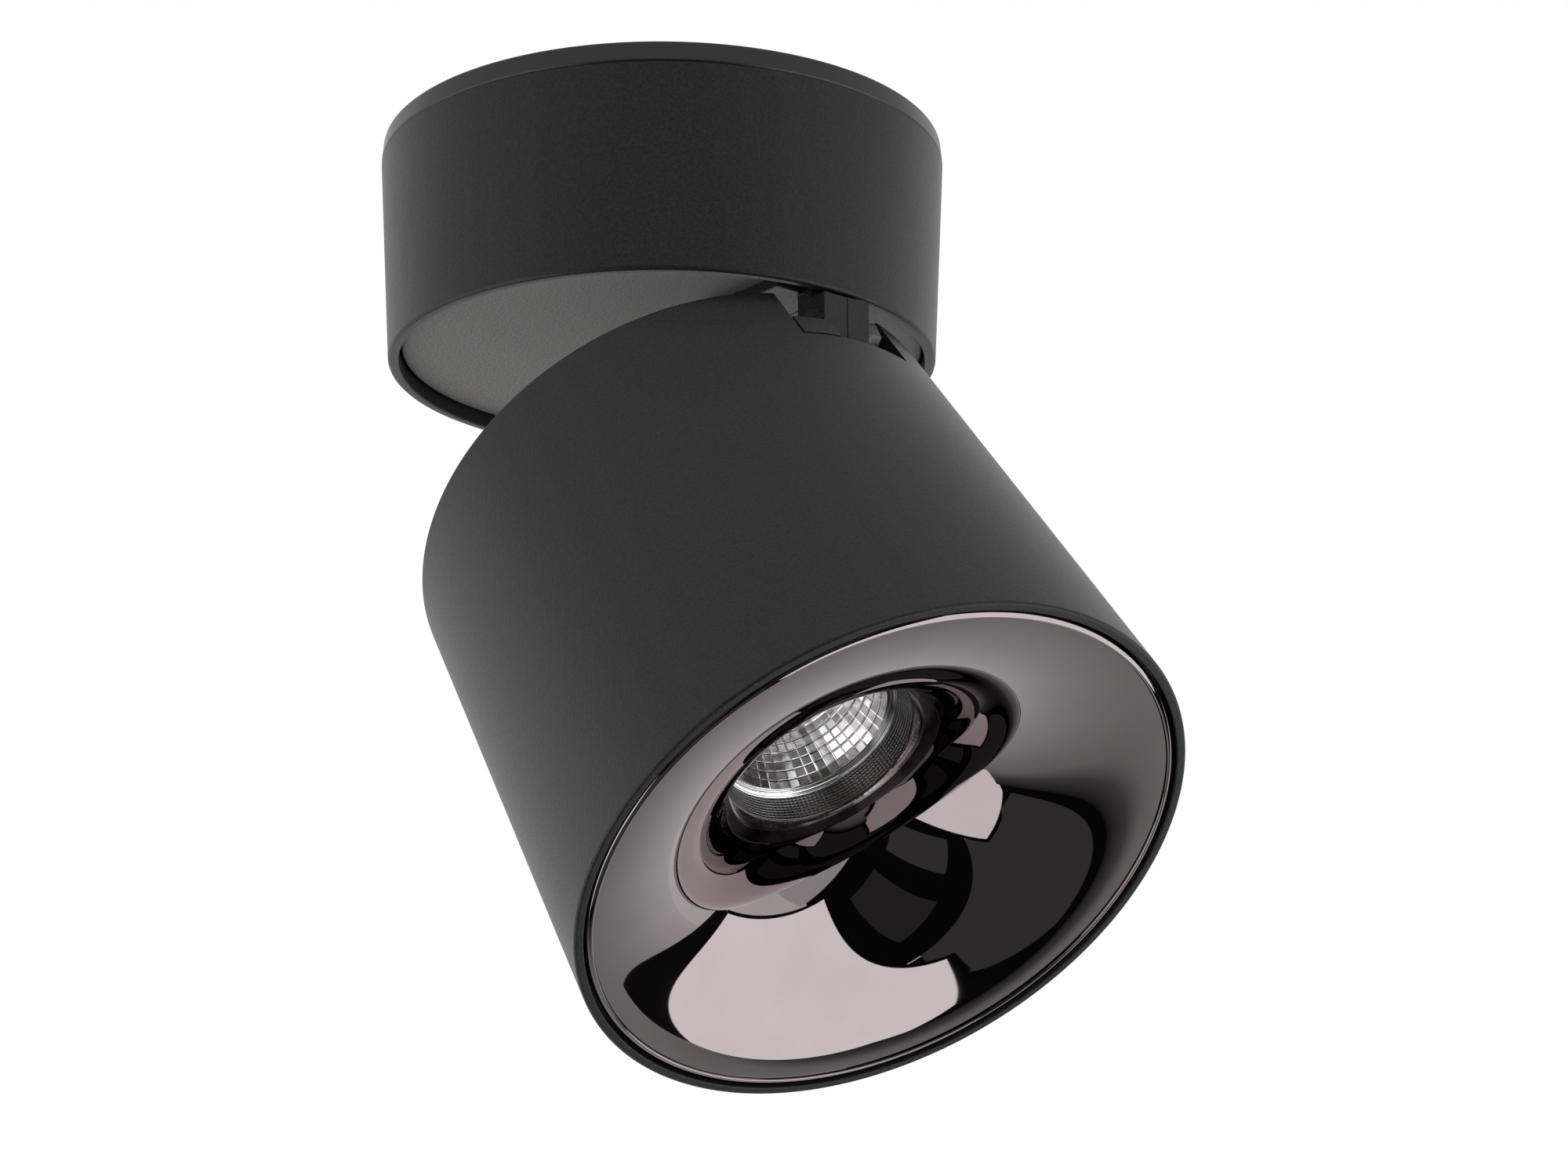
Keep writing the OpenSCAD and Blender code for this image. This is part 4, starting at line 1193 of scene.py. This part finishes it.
    def band(self) -> None:
        """Models the dark band of fine facets and its polished outer rim."""
        s = self.sizes
        grid = FacetGrid(columns=144, rows=8, wall=1.3, border=0.135, pillow=0.085)
        start, bead_z = self.rim_beads()[1]
        end = s.throat_r - s.band_side_gap
        z0, z1 = bead_z + s.rim_bead_r, self.depth(s.throat_s) - s.band_front_gap
        rings = [(start + (end - start) * i / grid.rows, z0 + (z1 - z0) * i / grid.rows)
                 for i in range(grid.rows + 1)]
        band = self.facets("smoke_band_with_painted_shade", grid, rings)
        edge = Outline()
        edge.arc((end + s.band_edge_r, z1 + s.band_edge_r), s.band_edge_r, 270, 90, count=8)
        edge.corner(end + s.band_edge_w, z1 + 2 * s.band_edge_r).corner(end + s.band_edge_w, z1)
        Bench.carve(band, Bench.turned("band_edge", edge.points, Steps.RING), Carve.JOIN)
        Bench.smooth(band, angle=5, flats=False)
        Bench.place(band, s.head_place())
        # The band's darkness is partly its smoke tint and partly painted shade in the film's tone
        self.hand_over(band, "head", "smoke_and_painted_shade", "smoke_film", "baffle_ring")


@dataclass(frozen=True)
class Board:
    """A flat board round the product, given in the photo camera's own axes.

    Attributes:
        name: The board's name.
        corners: Its four corners in metres to the right of, above and in front of the
            lamp's face, in order round the board.
        radiance: Its brightness, where 1 is white.
        fade: Brightness at its far end, where that differs.
        diffuse: Whether it lights matt surfaces too.
    """

    name: str
    corners: tuple[Spot, ...]
    radiance: float
    fade: float | None = None
    diffuse: bool = False


@dataclass
class Studio:
    """White surroundings, a pale floor and what the mirror insert reflects.

    Attributes:
        camera: The photograph's camera.
        face: Middle of the lamp's front, in metres.
        black: Radiance of what the mirror shows as black.
        floor_z: Height of the floor in metres.
        floor_size: Its width in metres.
        floor_tone: How pale it is.
        lamp_at: Where the soft lamp hangs, in metres.
        lamp_aim: What it points at.
        FADE: Where the table's brightness changes, as a share of its depth, and to what.
    """

    camera: "PhotoCamera"
    face: Vector
    black: float = 0.006
    floor_z: float = -1.0
    floor_size: float = 12.0
    floor_tone: float = 0.88
    lamp_at: Spot = (-0.7, -0.9, 0.9)
    lamp_aim: Spot = (0, 0, -0.1)
    FADE = ((0.07, 0.12), (0.13, 0.33), (0.32, 0.52), (0.6, 0.72))

    def build(self) -> None:
        """Builds the whole studio."""
        self.surroundings()
        self.floor()
        self.key_lamp()
        low, wall, top = -0.86, 1.15, 0.76
        for board in (
            Board("room_wall", ((-2.0, low, wall), (2.0, low, wall), (2.0, top, wall),
                                (-2.0, top, wall)), radiance=self.black),
            Board("room_floor", ((-0.44, low, 0.13), (0.41, low, 0.13), (0.66, low, wall),
                                 (-0.78, low, wall)), radiance=0.085),
            Board("room_edge", ((-1.2, low - 0.02, 0.07), (1.2, low - 0.02, 0.07), (1.2, low - 0.02, wall),
                                (-1.2, low - 0.02, wall)), radiance=self.black),
            Board("left_panel", ((-0.72, -0.52, 1.1), (-0.24, -0.46, 1.1), (-0.26, 0.31, 1.1),
                                 (-0.76, 0.31, 1.1)), radiance=0.085),
            Board("right_panel", ((0.06, -0.47, 1.1), (0.55, -0.47, 1.1), (0.62, 0.33, 1.1),
                                  (0.06, 0.34, 1.1)), radiance=0.045),
            Board("table", ((-2.4, low, 0.07), (2.4, low, 0.07), (2.4, low, -1.1),
                            (-2.4, low, -1.1)), radiance=0.02, fade=0.88),
            Board("ceiling", ((-2.4, top, wall), (2.4, top, wall), (2.4, top, -1.2),
                              (-2.4, top, -1.2)), radiance=0.68),
            *self.softbox("right_softbox", side=1, radiance=1.8),
            *self.softbox("left_softbox", side=-1, radiance=1.55),
            Board("softbox_shade", ((0.57, -0.94, -0.05), (1.18, -0.17, -0.47), (1.12, -0.17, -0.64),
                                    (0.57, -0.88, -0.20)), radiance=0.01),
        ):
            self.stand(board)

    @staticmethod
    def softbox(name: str, side: int, radiance: float) -> tuple[Board, Board]:
        """Returns one of the two large softboxes beside the camera, and the black frame behind it.

        Args:
            name: The board's name.
            side: 1 for the right one, -1 for the left one.
            radiance: Its brightness.

        Returns:
            The two boards.
        """
        sheet = [Vector((side * x, y, z)) for x, y, z in ((0.96, 0.47, 0.90), (0.42, -0.72, 0.63),
                                                          (0.57, -0.94, -0.05), (1.18, -0.17, -0.47))]
        middle = sum(sheet, Vector()) / 4
        border = [1.04 * (middle + 1.07 * (corner - middle)) for corner in sheet]
        return (Board(name, tuple(map(tuple, sheet)), radiance, diffuse=True),
                Board(name + "_frame", tuple(map(tuple, border)), radiance=0.004))

    def surroundings(self) -> None:
        """Makes the world white, found only by rays that miss everything."""
        world = bpy.data.worlds.new("white surroundings")
        world.use_nodes = True
        background = world.node_tree.nodes["Background"]
        background.inputs["Color"].default_value = (1, 1, 1, 1)
        background.inputs["Strength"].default_value = 1.0
        world.cycles.sampling_method = "NONE"
        bpy.context.scene.world = world

    def floor(self) -> None:
        """Lays a pale floor well below the lamp."""
        Bench.clear_selection()
        bpy.ops.mesh.primitive_plane_add(size=self.floor_size, location=(0, 0, self.floor_z))
        floor = bpy.context.object
        floor.name = "studio_floor"
        material = bpy.data.materials.new("pale floor")
        material.use_nodes = True
        shader = material.node_tree.nodes["Principled BSDF"]
        shader.inputs["Base Color"].default_value = (*[self.floor_tone] * 3, 1)
        shader.inputs["Roughness"].default_value = 0.8
        floor.data.materials.append(material)
        floor.visible_glossy = False

    def key_lamp(self) -> None:
        """Hangs a soft lamp above, which gives the floor its shadow."""
        light = bpy.data.lights.new("key lamp", "AREA")
        light.shape = "SQUARE"
        light.size = 0.9
        light.energy = 1.2
        lamp = bpy.data.objects.new("key lamp", light)
        bpy.context.scene.collection.objects.link(lamp)
        lamp.location = self.lamp_at
        away = Vector(self.lamp_at) - Vector(self.lamp_aim)
        lamp.rotation_euler = away.to_track_quat("Z", "Y").to_euler()
        lamp.visible_glossy = False

    def stand(self, board: Board) -> None:
        """Stands one board in the product's frame, unseen by the camera."""
        right, up, back = (self.camera.frame().col[i].to_3d() for i in range(3))
        Bench.clear_selection()
        bpy.ops.mesh.primitive_plane_add(size=1)
        plane = bpy.context.object
        plane.name = board.name
        order = (board.corners[0], board.corners[1], board.corners[3], board.corners[2])
        for vertex, (x, y, z) in zip(plane.data.vertices, order):
            vertex.co = self.face + right * x + up * y + back * z
        plane.data.materials.append(self.glow(board))
        plane.visible_camera = False
        plane.visible_diffuse = board.diffuse
        plane.visible_shadow = False

    def glow(self, board: Board) -> bpy.types.Material:
        """Returns a board's even or fading glow, the fade along its second axis."""
        material = bpy.data.materials.new(board.name)
        material.use_nodes = True
        tree = material.node_tree
        tree.nodes.remove(tree.nodes["Principled BSDF"])
        emission = tree.nodes.new("ShaderNodeEmission")
        emission.inputs["Strength"].default_value = board.radiance
        tree.links.new(emission.outputs["Emission"], tree.nodes["Material Output"].inputs["Surface"])
        if board.fade is not None:
            emission.inputs["Strength"].default_value = 1.0
            ramp = tree.nodes.new("ShaderNodeValToRGB")
            stops = ((0.0, board.radiance), *self.FADE, (1.0, board.fade))
            ramp.color_ramp.elements[1].position = stops[1][0]
            for place, _ in stops[2:]:
                ramp.color_ramp.elements.new(place)
            for element, (_, level) in zip(ramp.color_ramp.elements, stops):
                element.color = (level, level, level, 1)
            split = tree.nodes.new("ShaderNodeSeparateXYZ")
            uv = tree.nodes.new("ShaderNodeTexCoord")
            tree.links.new(uv.outputs["UV"], split.inputs["Vector"])
            tree.links.new(split.outputs["Y"], ramp.inputs["Fac"])
            tree.links.new(ramp.outputs["Color"], emission.inputs["Color"])
        return material


@dataclass
class PhotoCamera:
    """The camera at the photograph's viewing angle, fitted to the product's outlines.

    Attributes:
        azimuth: Where it stands round the product, in degrees.
        elevation: How high it stands, in degrees.
        aim_z: Height of the base's middle in metres.
        distance: Its distance from there in metres.
        yaw: Small turn to the side, in degrees.
        pitch: Small turn up, in degrees.
        roll: Small turn round its line of sight, in degrees.
        lens: Focal length in millimetres.
        shift: Lens shift to the side and up.
    """

    azimuth: float = 51.685
    elevation: float = -21.027
    aim_z: float = -0.01826
    distance: float = 0.72953
    yaw: float = -1.264
    pitch: float = -4.631
    roll: float = -0.221
    lens: float = 104.38
    shift: tuple[float, float] = (0.01437, 0.02536)

    def direction(self) -> Vector:
        """Returns the direction from the base's middle to the camera."""
        a, e = math.radians(self.azimuth), math.radians(self.elevation)
        return Vector((math.sin(a) * math.cos(e), -math.cos(a) * math.cos(e), math.sin(e)))

    def location(self) -> Vector:
        """Returns where the camera stands."""
        return Vector((0, 0, self.aim_z)) + self.direction() * self.distance

    def frame(self) -> Matrix:
        """Returns the camera's frame: right, up and backwards, at its location."""
        forward = -self.direction()
        a = math.radians(self.azimuth)
        right = Vector((math.cos(a), math.sin(a), 0))
        up = right.cross(forward)
        turn = Matrix.Rotation(math.radians(self.yaw), 3, up)
        forward, right = turn @ forward, turn @ right
        turn = Matrix.Rotation(math.radians(self.pitch), 3, right)
        forward, up = turn @ forward, turn @ up
        turn = Matrix.Rotation(math.radians(self.roll), 3, forward)
        right, up = turn @ right, turn @ up
        matrix = Matrix((right, up, -forward)).transposed().to_4x4()
        matrix.translation = self.location()
        return matrix

    def build(self) -> None:
        """Adds the camera to the scene."""
        data = bpy.data.cameras.new("photo camera")
        data.sensor_width = 36
        data.lens = self.lens
        data.shift_x, data.shift_y = self.shift
        data.clip_start = 0.01
        camera = bpy.data.objects.new("photo camera", data)
        bpy.context.scene.collection.objects.link(camera)
        camera.matrix_world = self.frame()
        bpy.context.scene.camera = camera


def main() -> None:
    """Builds the camera, the product's assemblies and the studio."""
    logging.basicConfig(level=logging.INFO, format="%(name)s: %(message)s")
    bpy.context.scene.view_settings.view_transform = "Standard"
    camera = PhotoCamera()
    camera.build()
    sizes, book = Sizes(), FinishBook()
    for assembly in (BaseAssembly, SwivelAssembly, HeadAssembly, OpticAssembly):
        assembly(sizes, book).build()
        LOG.info("%s done", assembly.__name__)
    Studio(camera, sizes.face_middle()).build()


if __name__ == "__main__":
    main()
